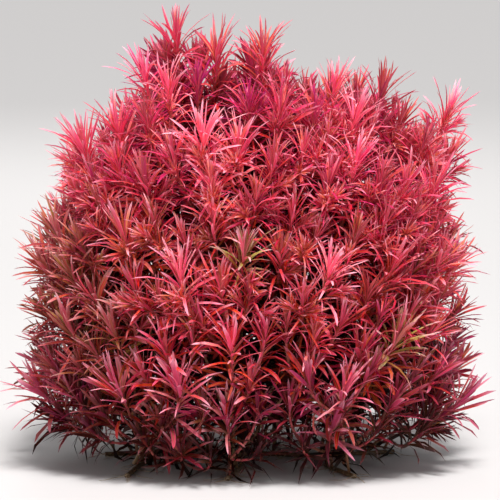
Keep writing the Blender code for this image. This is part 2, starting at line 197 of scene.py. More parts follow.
hang_lamp("high_light", "SUN", LAMP_PLACE, 2.6, (1.0, 0.98, 0.98)).angle = math.radians(14)
hang_disk("top_lamp", LAMP_PLACE, 0.35, 9.0, (1.0, 0.98, 0.98))
hang_disk("left_lamp", (-1.2, -0.9, 0.55), 0.7, 3.0, (1.0, 0.96, 0.94))
hang_disk("right_lamp", (1.2, -1.0, 0.7), 0.7, 4.0, (0.96, 0.98, 1.0))
hang_disk("back_lamp", (-0.2, 1.4, 1.0), 0.7, 5.0, (1.0, 0.98, 0.98))
room = bpy.data.worlds.new("room")
bpy.context.scene.world = room
room.use_nodes = True
room.node_tree.nodes["Background"].inputs["Color"].default_value = (0.95, 0.97, 1.0, 1.0)
room.node_tree.nodes["Background"].inputs["Strength"].default_value = 0.24
bpy.context.scene.view_settings.view_transform = "Standard"


# The camera
# It stands well back and a little above the bush, and looks down on it by the tilt that the
# photograph shows.

VIEW_TILT = math.radians(8.0)
VIEW_DISTANCE = 1.9
VIEW_WIDTH = 0.275
VIEW_AIM = (0.0, 0.0, 0.1148)

camera = bpy.data.objects.new("camera", bpy.data.cameras.new("camera"))
camera.data.lens = camera.data.sensor_width * VIEW_DISTANCE / VIEW_WIDTH
sight = Vector((0.0, -math.cos(VIEW_TILT), math.sin(VIEW_TILT)))
camera.location = Vector(VIEW_AIM) + sight * VIEW_DISTANCE
camera.rotation_euler = (-sight).to_track_quat("-Z", "Y").to_euler()
bpy.context.scene.collection.objects.link(camera)
bpy.context.scene.camera = camera


# How the bush grows
# Creeping stems lie on the ground and fork. Shoots rise from their joints, lean outward and fork
# once. The places of the rosettes are those of the solids.

MM = 0.001
HALF_WIDTH = 0.122
HALF_DEPTH = 0.094
DOME_HEIGHT = 0.248
WAIST_HEIGHT = 0.085
BASE_TUCK = 0.55
WIDTH_ROUNDNESS = 2.3
DEPTH_ROUNDNESS = 1.75
BACK_HEIGHT = 0.215
BACK_HALF_WIDTH = 0.112
FRONT_EDGE = 0.100
JOINT_DROP = 0.019
STEM_POINTS = 19
STEM_SPACING = 0.0045
LEAN_AT_BASE = 0.95
LEAN_AT_TOP = 0.30
FRONT_LEAN = 0.30
CREEPER_RADIUS = 0.0016
GAP = 0.0003
ROOT_SPACING = 0.0085
ROOT_MARGIN = 0.006
BAND_HEIGHT = 0.0026

FRONT_SHOOTS = (
    (15, (-40, 240), (-18, 231), (-28, 215)),
    (5, (7, 230), (19, 214), (-1, 203)),
    (0, (-56, 218), (-43, 211), (-55, 196)),
    (0, (45, 211), (55, 194), (34, 198)),
    (32, (70, 208), (81, 195), (64, 187)),
    (10, (107, 199), (93, 183), (107, 176)),
    (0, (-88, 179), (-82, 162), (-92, 157)),
    (0, (-70, 189), (-69, 170), (-55, 162)),
    (-6, (-25, 183), (-41, 177), (-20, 162)),
    (0, (16, 200), (28, 178), (41, 183)),
    (-4, (-6, 178), (12, 173), (3, 153)),
    (-4, (55, 170), (41, 162), (69, 163)),
    (-4, (82, 160), (86, 144), (71, 141)),
    (0, (97, 157), (98, 137), (87, 127)),
    (0, (-19, 141), (-34, 132), (-3, 125)),
    (0, (-66, 133), (-50, 141), (-79, 148)),
    (0, (-101, 133), (-88, 128), (-107, 115)),
    (0, (-94, 112), (-82, 102), (-105, 96)),
    (-4, (-36, 111), (-47, 101), (-61, 108)),
    (0, (-15, 106), (-26, 90), (0, 105)),
    (0, (22, 145), (16, 123), (34, 133)),
    (-4, (41, 114), (55, 132), (28, 102)),
    (0, (74, 116), (87, 117), (62, 102)),
    (0, (99, 118), (88, 100), (101, 102)),
    (0, (-72, 84), (-63, 95), (-82, 73)),
    (0, (-94, 82), (-103, 62), (-90, 64)),
    (0, (-44, 73), (-30, 82), (-56, 61)),
    (0, (-10, 78), (8, 82), (0, 56)),
    (0, (33, 78), (19, 90), (48, 89)),
    (0, (76, 77), (58, 73), (69, 93)),
    (0, (95, 82), (84, 92), (99, 60)),
    (0, (-111, 49), (-94, 50), (-99, 37)),
    (0, (-69, 52), (-78, 41), (-84, 30)),
    (-4, (-37, 53), (-47, 36), (-24, 44)),
    (0, (-12, 37), (4, 42), (4, 20)),
    (-4, (50, 53), (31, 59), (63, 63)),
    (0, (44, 34), (21, 44), (28, 25)),
    (0, (76, 46), (88, 62), (68, 31)),
    (0, (111, 42), (98, 43), (92, 30)),
    (0, (-37, 21), (-56, 26), (-21, 19)),
)
BACK_RINGS = (
    (0.048, 4, -6, 186),
    (0.106, 4, -10, 190),
    (0.156, 3, 16, 164),
    (0.190, 2, 52, 128),
)
BACK_SIDE_SHOOTS = ((-0.034, 0.008), (0.032, 0.011), (0.004, -0.026))
MAIN_CREEPER = ((-80, -4), (-45, 6), (-8, 2), (30, -6), (80, 3))
BRANCHES = (
    ("creeping_stem_front_left", 0.20, -1, ((-60, -32), (-66, -62))),
    ("creeping_stem_front_middle", 0.46, -1, ((-4, -34), (-12, -70))),
    ("creeping_stem_front_right", 0.74, -1, ((42, -36), (56, -64))),
    ("creeping_stem_back_left", 0.32, 1, ((-32, 34), (-46, 62))),
    ("creeping_stem_back_middle", 0.58, 1, ((16, 34), (8, 66))),
    ("creeping_stem_back_right", 0.84, 1, ((58, 30), (66, 54))),
)


def dome_share(height, roundness):
    if height > WAIST_HEIGHT:
        level = min(1.0, (height - WAIST_HEIGHT) / (DOME_HEIGHT - WAIST_HEIGHT))
    else:
        level = BASE_TUCK * (WAIST_HEIGHT - height) / WAIST_HEIGHT
    return max(0.0, 1.0 - level ** roundness) ** (1.0 / roundness)


def front_point(across, up, behind):
    depth = -HALF_DEPTH
    for _ in range(12):
        height = (up - (depth + FRONT_EDGE) * math.sin(VIEW_TILT)) / math.cos(VIEW_TILT)
        half_width = HALF_WIDTH * dome_share(height, WIDTH_ROUNDNESS)
        edge = min(1.0, abs(across) / max(half_width, 0.001)) ** WIDTH_ROUNDNESS
        share = dome_share(height, DEPTH_ROUNDNESS) * (1.0 - edge) ** (1.0 / WIDTH_ROUNDNESS)
        depth = 0.5 * depth + 0.5 * (behind - HALF_DEPTH * share)
    return Vector((across, depth, height))


def back_point(bearing, height):
    share = dome_share(height * DOME_HEIGHT / BACK_HEIGHT, WIDTH_ROUNDNESS)
    across = BACK_HALF_WIDTH * share * math.cos(bearing)
    return Vector((across, HALF_DEPTH * share * math.sin(bearing), height))


def growing_direction(tip):
    level = min(1.0, tip.z / DOME_HEIGHT)
    lean = LEAN_AT_BASE + (LEAN_AT_TOP - LEAN_AT_BASE) * level
    outward = Vector((tip.x / HALF_WIDTH, FRONT_LEAN * tip.y / HALF_DEPTH, 0.0))
    return (outward * lean + Vector((0.0, 0.0, 1.0))).normalized()


def neck_of(tip):
    return tip - growing_direction(tip) * BAND_HEIGHT


def list_shoots():
    shoots = []
    for number, (behind, *views) in enumerate(FRONT_SHOOTS, start=1):
        tips = [front_point(across * MM, up * MM, behind * MM) for across, up in views]
        shoots.append((f"front_shoot_{number:02d}", tips))
    number = 0
    for height, count, first, last in BACK_RINGS:
        for place in range(count):
            number += 1
            bearing = math.radians(first + (last - first) * place / (count - 1))
            tips = [back_point(bearing, height)]
            girth = max(0.045, math.hypot(tips[0].x, tips[0].y))
            for sideways, rise in BACK_SIDE_SHOOTS:
                tips.append(back_point(bearing + sideways / girth, height + rise))
            shoots.append((f"back_shoot_{number:02d}", tips))
    return shoots


def creeper_paths():
    level = CREEPER_RADIUS * math.sqrt(0.5)
    main = [Vector((across * MM, depth * MM, level)) for across, depth in MAIN_CREEPER]
    paths = [("creeping_stem_main", main)]
    lengths = [(end - start).length for start, end in zip(main, main[1:])]
    for name, share, side, points in BRANCHES:
        distance = share * sum(lengths)
        span = 0
        while distance > lengths[span]:
            distance -= lengths[span]
            span += 1
        direction = (main[span + 1] - main[span]).normalized()
        square = Vector((-direction.y, direction.x, 0.0)) * side
        start = main[span] + direction * distance + square * (level + GAP)
        path = [start, start + square * 0.006]
        path += [Vector((across * MM, depth * MM, level)) for across, depth in points]
        paths.append((name, path))
    return paths


def rooting_places(paths):
    places = []
    for _, path in paths:
        lengths = [(end - start).length for start, end in zip(path, path[1:])]
        total = sum(lengths)
        count = int((total - 2 * ROOT_MARGIN) / ROOT_SPACING) + 1
        for number in range(count):
            distance = ROOT_MARGIN + (total - 2 * ROOT_MARGIN) * number / (count - 1)
            span = 0
            while span < len(lengths) - 1 and distance > lengths[span]:
                distance -= lengths[span]
                span += 1
            places.append(path[span].lerp(path[span + 1], distance / lengths[span]))
    top = 2 * CREEPER_RADIUS * math.sqrt(0.5) + GAP
    return [Vector((place.x, place.y, top)) for place in places]


def choose_feet(shoots, places):
    wishes = []
    for _, tips in shoots:
        pull = 0.36 + 0.30 * (1.0 - min(1.0, tips[0].z / DOME_HEIGHT))
        wishes.append(Vector((tips[0].x * pull, tips[0].y * pull, places[0].z)))
    wishes += [None] * (len(places) - len(shoots))
    feet = list(places)
    traded = True
    while traded:
        traded = False
        for one in range(len(shoots)):
            for other in range(one + 1, len(feet)):
                stay = (wishes[one] - feet[one]).length_squared
                trade = (wishes[one] - feet[other]).length_squared
                if wishes[other] is not None:
                    stay += (wishes[other] - feet[other]).length_squared
                    trade += (wishes[other] - feet[one]).length_squared
                if trade < stay - 1e-9:
                    feet[one], feet[other] = feet[other], feet[one]
                    traded = True
    return feet[:len(shoots)]


def curve_points(foot, tip, direction):
    reach = (tip - foot).length
    outward = Vector((tip.x - foot.x, tip.y - foot.y, 0.0))
    first = foot + Vector((0.0, 0.0, 0.34 * reach)) + outward * 0.12
    second = tip - direction * 0.36 * reach
    points = []
    for step in range(STEM_POINTS):
        t = step / (STEM_POINTS - 1)
        points.append(
            foot * (1 - t) ** 3
            + first * 3 * t * (1 - t) ** 2
            + second * 3 * t ** 2 * (1 - t)
            + tip * t ** 3
        )
    return np.array(points)


def joint_share(tips, path):
    lowest = min(tip.z for tip in tips[1:]) - JOINT_DROP
    heights = path[:, 2]
    share = float(np.searchsorted(heights, lowest)) / (STEM_POINTS - 1)
    return min(0.74, max(0.30, share))


def point_at(path, share):
    place = share * (STEM_POINTS - 1)
    low = min(int(place), STEM_POINTS - 2)
    return path[low] + (path[low + 1] - path[low]) * (place - low)


def spread_stems(paths, forks, side_tips):
    count = len(paths)
    bend = np.sin(np.linspace(0.0, math.pi, STEM_POINTS)) ** 0.5
    bend[0] = 0.0
    bend[-1] = 0.0
    steps = np.linspace(0.0, 1.0, 9)
    for _ in range(45):
        stems = np.concatenate(paths)
        owners = np.repeat(np.arange(count), STEM_POINTS)
        twigs = []
        twig_owners = []
        for index, tips in enumerate(side_tips):
            fork = point_at(paths[index], forks[index])
            for tip in tips:
                twigs.append(fork + steps[1:, None] * (np.array(tip) - fork))
                twig_owners += [index] * (len(steps) - 1)
        everything = np.concatenate([stems, *twigs])
        all_owners = np.concatenate([owners, np.array(twig_owners)])
        offsets = stems[:, None, :] - everything[None, :, :]
        distances = np.sqrt((offsets ** 2).sum(axis=2))
        distances[owners[:, None] == all_owners[None, :]] = 1.0
        push = np.clip(STEM_SPACING - distances, 0.0, None) * 0.5
        push /= np.maximum(distances, 1e-5)
        moves = (offsets * push[:, :, None]).sum(axis=1).reshape(count, STEM_POINTS, 3)
        for index, path in enumerate(paths):
            path += moves[index] * bend[:, None]
            path[1:-1] += 0.15 * (path[:-2] + path[2:] - 2 * path[1:-1])
    return paths


creepers = creeper_paths()
shoots = list_shoots()
feet = choose_feet(shoots, rooting_places(creepers))
necks = [[neck_of(tip) for tip in tips] for _, tips in shoots]
paths = []
for (_, tips), foot, shoot_necks in zip(shoots, feet, necks):
    paths.append(curve_points(foot, shoot_necks[0], growing_direction(tips[0])))
forks = [joint_share(tips, path) for (_, tips), path in zip(shoots, paths)]
paths = spread_stems(paths, forks, [shoot_necks[1:] for shoot_necks in necks])


# The leaf blade
# A leaf is a thin, narrow, pointed blade, folded a little along its midrib. One blade is modelled
# flat, one unit long and one wide, and every leaf of the bush is a bent copy of it. Leaves that
# stand in the shade of others are copies of plainer blades, with a keel for a midrib.

BLADE_LEVELS = (0.0, 0.16, 0.42, 0.70, 0.90, 1.0)
BLADE_WIDTHS = (0.42, 0.84, 1.0, 0.92, 0.62, 0.0)
SHADED_LEVELS = (0.0, 0.32, 0.80, 1.0)
SHADED_WIDTHS = (0.45, 1.0, 0.85, 0.0)
HIDDEN_LEVELS = (0.0, 0.50, 1.0)
HIDDEN_WIDTHS = (0.50, 1.0, 0.0)
FOLD = 0.13
BLADE_THICKNESS = 0.09
KEEL = 0.20
UNDERSIDE = 2.0


def select_points(mesh, wanted):
    """Selects the points of the mesh being edited that the test picks out."""
    cage = bmesh.from_edit_mesh(mesh)
    for vertex in cage.verts:
        vertex.select = wanted(vertex)
    cage.select_flush_mode()
    bmesh.update_edit_mesh(mesh)


def read_form(made):
    """The points, faces and corner places of a modelled form, as arrays to copy from."""
    mesh = made.data
    form = {
        "points": np.array([vertex.co for vertex in mesh.vertices]),
        "corners": np.array([loop.vertex_index for loop in mesh.loops]),
        "sizes": np.array([face.loop_total for face in mesh.polygons]),
        "places": np.array([corner.uv for corner in mesh.uv_layers["place"].data]),
    }
    bpy.data.objects.remove(made, do_unlink=True)
    return form


def map_blade(blade, levels, widths):
    """Notes where on the leaf each corner lies: across from 0 to 1, two more on the underside."""
    place_map = blade.data.uv_layers.new(name="place")
    for face in blade.data.polygons:
        side = UNDERSIDE if face.normal.z < 0.0 else 0.0
        for corner in face.loop_indices:
            point = blade.data.vertices[blade.data.loops[corner].vertex_index].co
            half = max(0.01, 0.5 * float(np.interp(point.y, levels, widths)))
            place_map.data[corner].uv = (side + 0.5 + 0.5 * point.x / half, point.y)


def model_folded_blade(levels, widths):
    """A flat grid drawn in to the leaf's outline, folded, doubled and closed round its rim."""
    rows = len(levels) - 1
    bpy.ops.object.select_all(action="DESELECT")
    bpy.ops.mesh.primitive_grid_add(x_subdivisions=2, y_subdivisions=rows, size=1.0, location=(0, 0.5, 0))
    blade = bpy.context.object
    bpy.ops.object.transform_apply(location=True)
    bpy.ops.object.mode_set(mode="EDIT")
    bpy.context.tool_settings.mesh_select_mode = (True, False, False)
    for row in range(rows, -1, -1):
        even = row / rows
        select_points(blade.data, lambda vertex: abs(vertex.co.y - even) < 0.001)
        bpy.ops.transform.resize(value=(widths[row], 1, 1), center_override=(0, even, 0))
        bpy.ops.transform.translate(value=(0, levels[row] - even + row, 0))
    for row in range(rows + 1):
        select_points(blade.data, lambda vertex: abs(vertex.co.y - levels[row] - row) < 0.001)
        bpy.ops.transform.translate(value=(0, -row, 0))
    select_points(blade.data, lambda vertex: abs(vertex.co.x) < 0.01 and vertex.co.y < 0.99)
    bpy.ops.transform.translate(value=(0, 0, -FOLD))
    bpy.ops.mesh.select_all(action="SELECT")
    bpy.ops.mesh.duplicate()
    bpy.ops.mesh.flip_normals()
    select_points(
        blade.data,
        lambda vertex: vertex.select and abs(vertex.co.x) < 0.01 and vertex.co.y < 0.99,
    )
    bpy.ops.transform.translate(value=(0, 0, -BLADE_THICKNESS))
    bpy.ops.mesh.select_all(action="SELECT")
    bpy.ops.mesh.remove_doubles(threshold=0.0001)
    bpy.context.tool_settings.mesh_select_mode = (False, True, False)
    cage = bmesh.from_edit_mesh(blade.data)
    for edge in cage.edges:
        edge.select = edge.is_boundary
    bmesh.update_edit_mesh(blade.data)
    bpy.ops.mesh.edge_face_add()
    bpy.ops.mesh.select_all(action="SELECT")
    bpy.ops.mesh.normals_make_consistent(inside=False)
    bpy.ops.object.mode_set(mode="OBJECT")
    map_blade(blade, levels, widths)
    return read_form(blade)


def model_keeled_blade(levels, widths):
    """A three-sided cone laid down with one edge below, cut at each level and widened there."""
    bpy.ops.object.select_all(action="DESELECT")
    bpy.ops.mesh.primitive_cone_add(
        vertices=3, radius1=math.sqrt(1 / 3), radius2=0.0, depth=1.0,
        location=(0, 0.5, 0), rotation=(-math.pi / 2, 0, 0),
    )
    blade = bpy.context.object
    bpy.ops.object.transform_apply(location=True, rotation=True)
    bpy.ops.object.mode_set(mode="EDIT")
    for level in levels[1:-1]:
        bpy.ops.mesh.select_all(action="SELECT")
        bpy.ops.mesh.bisect(plane_co=(0, level, 0), plane_no=(0, 1, 0))
    bpy.context.tool_settings.mesh_select_mode = (True, False, False)
    for level, width in zip(levels[:-1], widths):
        select_points(blade.data, lambda vertex: abs(vertex.co.y - level) < 0.001)
        grown = width / (1.0 - level)
        bpy.ops.transform.resize(value=(grown, 1, grown * KEEL), center_override=(0, level, 0))
    bpy.ops.mesh.select_all(action="SELECT")
    bpy.ops.mesh.normals_make_consistent(inside=False)
    bpy.ops.object.mode_set(mode="OBJECT")
    map_blade(blade, levels, widths)
    return read_form(blade)


folded_leaf = model_folded_blade(BLADE_LEVELS, BLADE_WIDTHS)
shaded_leaf = model_keeled_blade(SHADED_LEVELS, SHADED_WIDTHS)
hidden_leaf = model_keeled_blade(HIDDEN_LEVELS, HIDDEN_WIDTHS)


# The stretch of stem between two joints
# A stem is a chain of short stretches, each a little thicker at its ends, where the leaves sit.
# One stretch is modelled upright, one unit long and one in radius.

STEM_SIDES = 5
CREEPER_SIDES = 10
ROOT_SIDES = 3
WAIST = 0.80


def model_stretch(sides):
    bpy.ops.object.select_all(action="DESELECT")
    bpy.ops.mesh.primitive_cylinder_add(vertices=sides, radius=1.0, depth=1.0, location=(0, 0, 0.5))
    stretch = bpy.context.object
    bpy.ops.object.transform_apply(location=True)
    bpy.ops.object.mode_set(mode="EDIT")
    bpy.ops.mesh.select_all(action="SELECT")
    bpy.ops.mesh.bisect(plane_co=(0, 0, 0.5), plane_no=(0, 0, 1))
    bpy.context.tool_settings.mesh_select_mode = (True, False, False)
    select_points(stretch.data, lambda vertex: 0.1 < vertex.co.z < 0.9)
    bpy.ops.transform.resize(value=(WAIST, WAIST, 1), center_override=(0, 0, 0.5))
    bpy.ops.object.mode_set(mode="OBJECT")
    place_map = stretch.data.uv_layers.new(name="place")
    for face in stretch.data.polygons:
        corners = [stretch.data.vertices[index].co for index in face.vertices]
        turns = [math.atan2(corner.y, corner.x) / (2 * math.pi) % 1.0 for corner in corners]
        wraps = max(turns) - min(turns) > 0.5
        for loop, corner, turn in zip(face.loop_indices, corners, turns):
            if abs(face.normal.z) > 0.9:
                place_map.data[loop].uv = (0.5 + 0.1 * corner.x, 0.5 + 0.1 * corner.y)
            else:
                place_map.data[loop].uv = (turn + 1.0 if wraps and turn < 0.5 else turn, corner.z)
    return read_form(stretch)


stem_form = model_stretch(STEM_SIDES)
creeper_form = model_stretch(CREEPER_SIDES)
root_form = model_stretch(ROOT_SIDES)


# The skin of the leaves
# Leaves are satin and a little see-through. Young ones are coral to pink with pale tips, and older
# ones turn red, wine or olive. The midrib is paler, and the underside is a cool pink. The pale tips
# and pale rims are painted highlights, some heads get a painted lilac sheen, and leaves deep in the
# bush and near the ground are painted darker and greener as shade.

def add_node(tree, kind, **settings):
    node = tree.nodes.new(kind)
    for name, value in settings.items():
        setattr(node, name, value)
    return node


def mix_colours(tree, share, one, other, blend="MIX"):
    node = add_node(tree, "ShaderNodeMix", data_type="RGBA", blend_type=blend)
    for socket, value in (("Factor", share), ("A", one), ("B", other)):
        if isinstance(value, bpy.types.NodeSocket):
            tree.links.new(value, node.inputs[socket])
        else:
            node.inputs[socket].default_value = value
    return node.outputs["Result"]


def ramp(tree, value, low, high):
    node = add_node(tree, "ShaderNodeMapRange", interpolation_type="SMOOTHSTEP")
    tree.links.new(value, node.inputs["Value"])
    node.inputs["From Min"].default_value = low
    node.inputs["From Max"].default_value = high
    return node.outputs["Result"]


def calculate(tree, operation, one, other):
    node = add_node(tree, "ShaderNodeMath", operation=operation)
    for socket, value in zip(node.inputs, (one, other)):
        if isinstance(value, bpy.types.NodeSocket):
            tree.links.new(value, socket)
        else:
            socket.default_value = value
    return node.outputs["Value"]


def read_attribute(tree, name):
    return add_node(tree, "ShaderNodeAttribute", attribute_name=name).outputs["Fac"]


leaf_group = bpy.data.node_groups.new("leaf_colouring", "ShaderNodeTree")
GREEN_LEAF = (0.34, 0.33, 0.07, 1.0)
# The pale lilac-pink of a painted sheen.
LILAC_LEAF = (0.74, 0.20, 0.42, 1.0)
LEAF_COLOURS = ("Bud", "Young", "Grown", "Old", "Odd", "Accent", "Rib", "Underside", "Tip", "Shade")
for socket in LEAF_COLOURS:
    leaf_group.interface.new_socket(socket, in_out="INPUT", socket_type="NodeSocketColor")
leaf_group.interface.new_socket("Colour", in_out="OUTPUT", socket_type="NodeSocketColor")
leaf_group.interface.new_socket("Roughness", in_out="OUTPUT", socket_type="NodeSocketFloat")
leaf_group.interface.new_socket("Height", in_out="OUTPUT", socket_type="NodeSocketFloat")
given = add_node(leaf_group, "NodeGroupInput")
result = add_node(leaf_group, "NodeGroupOutput")
place = add_node(leaf_group, "ShaderNodeUVMap", uv_map="place").outputs["UV"]
parts = add_node(leaf_group, "ShaderNodeSeparateXYZ")
leaf_group.links.new(place, parts.inputs["Vector"])
under = calculate(leaf_group, "GREATER_THAN", parts.outputs["X"], 1.5)
across = calculate(leaf_group, "SUBTRACT", parts.outputs["X"], calculate(leaf_group, "MULTIPLY", under, 2.0))
along = parts.outputs["Y"]
off_middle = calculate(leaf_group, "ABSOLUTE", calculate(leaf_group, "SUBTRACT", across, 0.5), 0.0)
age = read_attribute(leaf_group, "age")
tint = read_attribute(leaf_group, "tint")
blush = read_attribute(leaf_group, "blush")
shade_depth = read_attribute(leaf_group, "depth")

body = mix_colours(leaf_group, ramp(leaf_group, age, 0.05, 0.45), given.outputs["Young"], given.outputs["Grown"])
body = mix_colours(leaf_group, ramp(leaf_group, age, 0.45, 1.1), body, given.outputs["Old"])
odd_share = calculate(leaf_group, "MULTIPLY", ramp(leaf_group, blush, 0.66, 0.90), 0.80)
body = mix_colours(leaf_group, odd_share, body, given.outputs["Odd"])
# Painted sheen: some heads are washed pale lilac-pink, as light glancing off their leaves.
lilac_share = calculate(leaf_group, "MULTIPLY", ramp(leaf_group, blush, 0.08, -0.20), ramp(leaf_group, tint, 0.40, 0.85))
body = mix_colours(leaf_group, lilac_share, body, LILAC_LEAF)
green_share = calculate(leaf_group, "MULTIPLY", ramp(leaf_group, blush, 1.0, 1.2), ramp(leaf_group, age, 0.45, 0.15))
body = mix_colours(leaf_group, green_share, body, GREEN_LEAF)
accent_share = calculate(leaf_group, "MULTIPLY", ramp(leaf_group, blush, 0.28, 0.12), 0.75)
body = mix_colours(leaf_group, accent_share, body, given.outputs["Accent"])
bud_share = calculate(leaf_group, "MULTIPLY", ramp(leaf_group, age, 0.16, 0.0), ramp(leaf_group, blush, 0.25, 0.55))
body = mix_colours(leaf_group, calculate(leaf_group, "MULTIPLY", bud_share, 0.70), body, given.outputs["Bud"])
pale_share = calculate(leaf_group, "MULTIPLY", ramp(leaf_group, tint, 0.74, 0.92), ramp(leaf_group, age, 0.9, 0.1))
body = mix_colours(leaf_group, calculate(leaf_group, "MULTIPLY", pale_share, 0.45), body, given.outputs["Tip"])

streaks = add_node(leaf_group, "ShaderNodeTexNoise")
streaks.inputs["Scale"].default_value = 1.0
stretcher = add_node(leaf_group, "ShaderNodeCombineXYZ")
leaf_group.links.new(calculate(leaf_group, "MULTIPLY", across, 9.0), stretcher.inputs["X"])
leaf_group.links.new(calculate(leaf_group, "MULTIPLY", along, 2.2), stretcher.inputs["Y"])
leaf_group.links.new(calculate(leaf_group, "MULTIPLY", tint, 57.0), stretcher.inputs["Z"])
leaf_group.links.new(stretcher.outputs["Vector"], streaks.inputs["Vector"])
streak = ramp(leaf_group, streaks.outputs["Fac"], 0.35, 0.70)
body = mix_colours(leaf_group, calculate(leaf_group, "MULTIPLY", streak, 0.22), body, given.outputs["Tip"], "SOFT_LIGHT")

base_share = calculate(leaf_group, "MULTIPLY", ramp(leaf_group, along, 0.30, 0.0), 0.55)
body = mix_colours(leaf_group, base_share, body, given.outputs["Rib"])
rib = ramp(leaf_group, off_middle, 0.12, 0.03)
rib = calculate(leaf_group, "MULTIPLY", rib, ramp(leaf_group, along, 1.0, 0.55))
body = mix_colours(leaf_group, calculate(leaf_group, "MULTIPLY", rib, 0.75), body, given.outputs["Rib"])
under_share = calculate(leaf_group, "ADD", calculate(leaf_group, "MULTIPLY", ramp(leaf_group, tint, 0.35, 0.80), 0.55), 0.25)
under_share = calculate(leaf_group, "MULTIPLY", under_share, under)
under_share = calculate(leaf_group, "MULTIPLY", under_share, ramp(leaf_group, age, 1.2, 0.3))
body = mix_colours(leaf_group, under_share, body, given.outputs["Underside"])
# Painted highlight: pale tips on young leaves.
tip_share = calculate(leaf_group, "MULTIPLY", ramp(leaf_group, along, 0.55, 0.95), ramp(leaf_group, age, 0.55, 0.10))
tip_share = calculate(leaf_group, "MULTIPLY", tip_share, ramp(leaf_group, tint, 0.25, 0.85))
body = mix_colours(leaf_group, calculate(leaf_group, "MULTIPLY", tip_share, 0.85), body, given.outputs["Tip"])
# Painted highlight: pale rims on leaves outside the painted shade.
rim = calculate(leaf_group, "MULTIPLY", ramp(leaf_group, off_middle, 0.38, 0.50), ramp(leaf_group, shade_depth, 0.5, 0.0))
body = mix_colours(leaf_group, calculate(leaf_group, "MULTIPLY", rim, 0.30), body, given.outputs["Tip"])
# Painted shade: leaves deep in the bush turn toward the dark Shade colour.
body = mix_colours(leaf_group, calculate(leaf_group, "MULTIPLY", ramp(leaf_group, shade_depth, 0.15, 0.75), 0.80), body, given.outputs["Shade"])

tone = add_node(leaf_group, "ShaderNodeHueSaturation")
leaf_group.links.new(body, tone.inputs["Color"])
leaf_group.links.new(calculate(leaf_group, "ADD", calculate(leaf_group, "MULTIPLY", tint, 0.035), 0.479), tone.inputs["Hue"])
# Leaves differ at random in brightness, and painted shade dims the leaves deep in the bush.
bright = calculate(leaf_group, "ADD", calculate(leaf_group, "MULTIPLY", tint, 0.85), 0.45)
dim = calculate(leaf_group, "SUBTRACT", 1.0, calculate(leaf_group, "MULTIPLY", shade_depth, 0.85))
leaf_group.links.new(calculate(leaf_group, "MULTIPLY", bright, dim), tone.inputs["Value"])
leaf_group.links.new(tone.outputs["Color"], result.inputs["Colour"])
gloss = calculate(leaf_group, "ADD", calculate(leaf_group, "MULTIPLY", streak, 0.12), 0.34)
gloss = calculate(leaf_group, "ADD", gloss, calculate(leaf_group, "MULTIPLY", under, 0.12))
leaf_group.links.new(gloss, result.inputs["Roughness"])
relief = calculate(leaf_group, "SUBTRACT", calculate(leaf_group, "MULTIPLY", streak, 0.4), rib)
leaf_group.links.new(relief, result.inputs["Height"])


# tip is the pale pink of pale leaves and streaks and of the painted highlights on leaf tips and rims; shade is the
# colour of painted shade.
def make_leaf_skin(name, bud, young, grown, old, odd, accent, rib_colour, underside, tip, shade):
    skin = bpy.data.materials.new(name)
    skin.use_nodes = True
    tree = skin.node_tree
    surface = tree.nodes["Principled BSDF"]
    group = add_node(tree, "ShaderNodeGroup", node_tree=leaf_group)
    colours = (bud, young, grown, old, odd, accent, rib_colour, underside, tip, shade)
    for socket, colour in zip(LEAF_COLOURS, colours):
        group.inputs[socket].default_value = (*colour, 1.0)
    bump = add_node(tree, "ShaderNodeBump")
    bump.inputs["Strength"].default_value = 0.35
    bump.inputs["Distance"].default_value = 0.0002
    tree.links.new(group.outputs["Colour"], surface.inputs["Base Color"])
    tree.links.new(group.outputs["Roughness"], surface.inputs["Roughness"])
    tree.links.new(group.outputs["Height"], bump.inputs["Height"])
    tree.links.new(bump.outputs["Normal"], surface.inputs["Normal"])
    surface.inputs["IOR"].default_value = 1.24
    surface.inputs["Specular IOR Level"].default_value = 0.5
    surface.inputs["Subsurface Weight"].default_value = 0.20
    surface.inputs["Subsurface Radius"].default_value = (1.0, 0.25, 0.2)
    surface.inputs["Subsurface Scale"].default_value = 0.0012
    return skin


leaf_skins = {
    "coral": make_leaf_skin(
        "coral_leaf_skin",
        bud=(0.92, 0.27, 0.10),
        young=(0.96, 0.014, 0.12),
        grown=(0.80, 0.003, 0.045),
        old=(0.40, 0.003, 0.008),
        odd=(0.80, 0.040, 0.018),
        accent=(0.98, 0.020, 0.28),
        rib_colour=(0.78, 0.17, 0.07),
        underside=(0.98, 0.085, 0.28),
        tip=(1.0, 0.42, 0.56),
        shade=(0.19, 0.012, 0.008),
    ),
    "red": make_leaf_skin(
        "red_leaf_skin",
        bud=(0.72, 0.29, 0.08),
        young=(0.98, 0.018, 0.050),
        grown=(0.72, 0.002, 0.008),
        old=(0.24, 0.002, 0.004),
        odd=(0.42, 0.045, 0.010),
        accent=(0.90, 0.016, 0.15),
        rib_colour=(0.52, 0.24, 0.04),
        underside=(0.92, 0.080, 0.26),
        tip=(1.0, 0.42, 0.56),
        shade=(0.055, 0.020, 0.007),
    ),
    "olive": make_leaf_skin(
        "olive_leaf_skin",
        bud=(0.56, 0.32, 0.08),
        young=(0.72, 0.034, 0.050),
        grown=(0.40, 0.008, 0.011),
        old=(0.13, 0.016, 0.007),
        odd=(0.19, 0.12, 0.020),
        accent=(0.68, 0.020, 0.11),
        rib_colour=(0.38, 0.28, 0.05),
        underside=(0.62, 0.080, 0.18),
        tip=(0.94, 0.44, 0.48),
        shade=(0.035, 0.028, 0.009),
    ),
    "wine": make_leaf_skin(
        "wine_leaf_skin",
        bud=(0.50, 0.28, 0.07),
        young=(0.78, 0.018, 0.060),
        grown=(0.34, 0.002, 0.010),
        old=(0.085, 0.003, 0.005),
        odd=(0.11, 0.060, 0.012),
        accent=(0.74, 0.012, 0.15),
        rib_colour=(0.32, 0.20, 0.04),
        underside=(0.66, 0.065, 0.22),
        tip=(0.96, 0.40, 0.54),
        shade=(0.020, 0.017, 0.008),
    ),
}


# The skin of the stems
# Stems are smooth and round, red near the tips and green-brown lower down, with a darker ring at
# each joint.

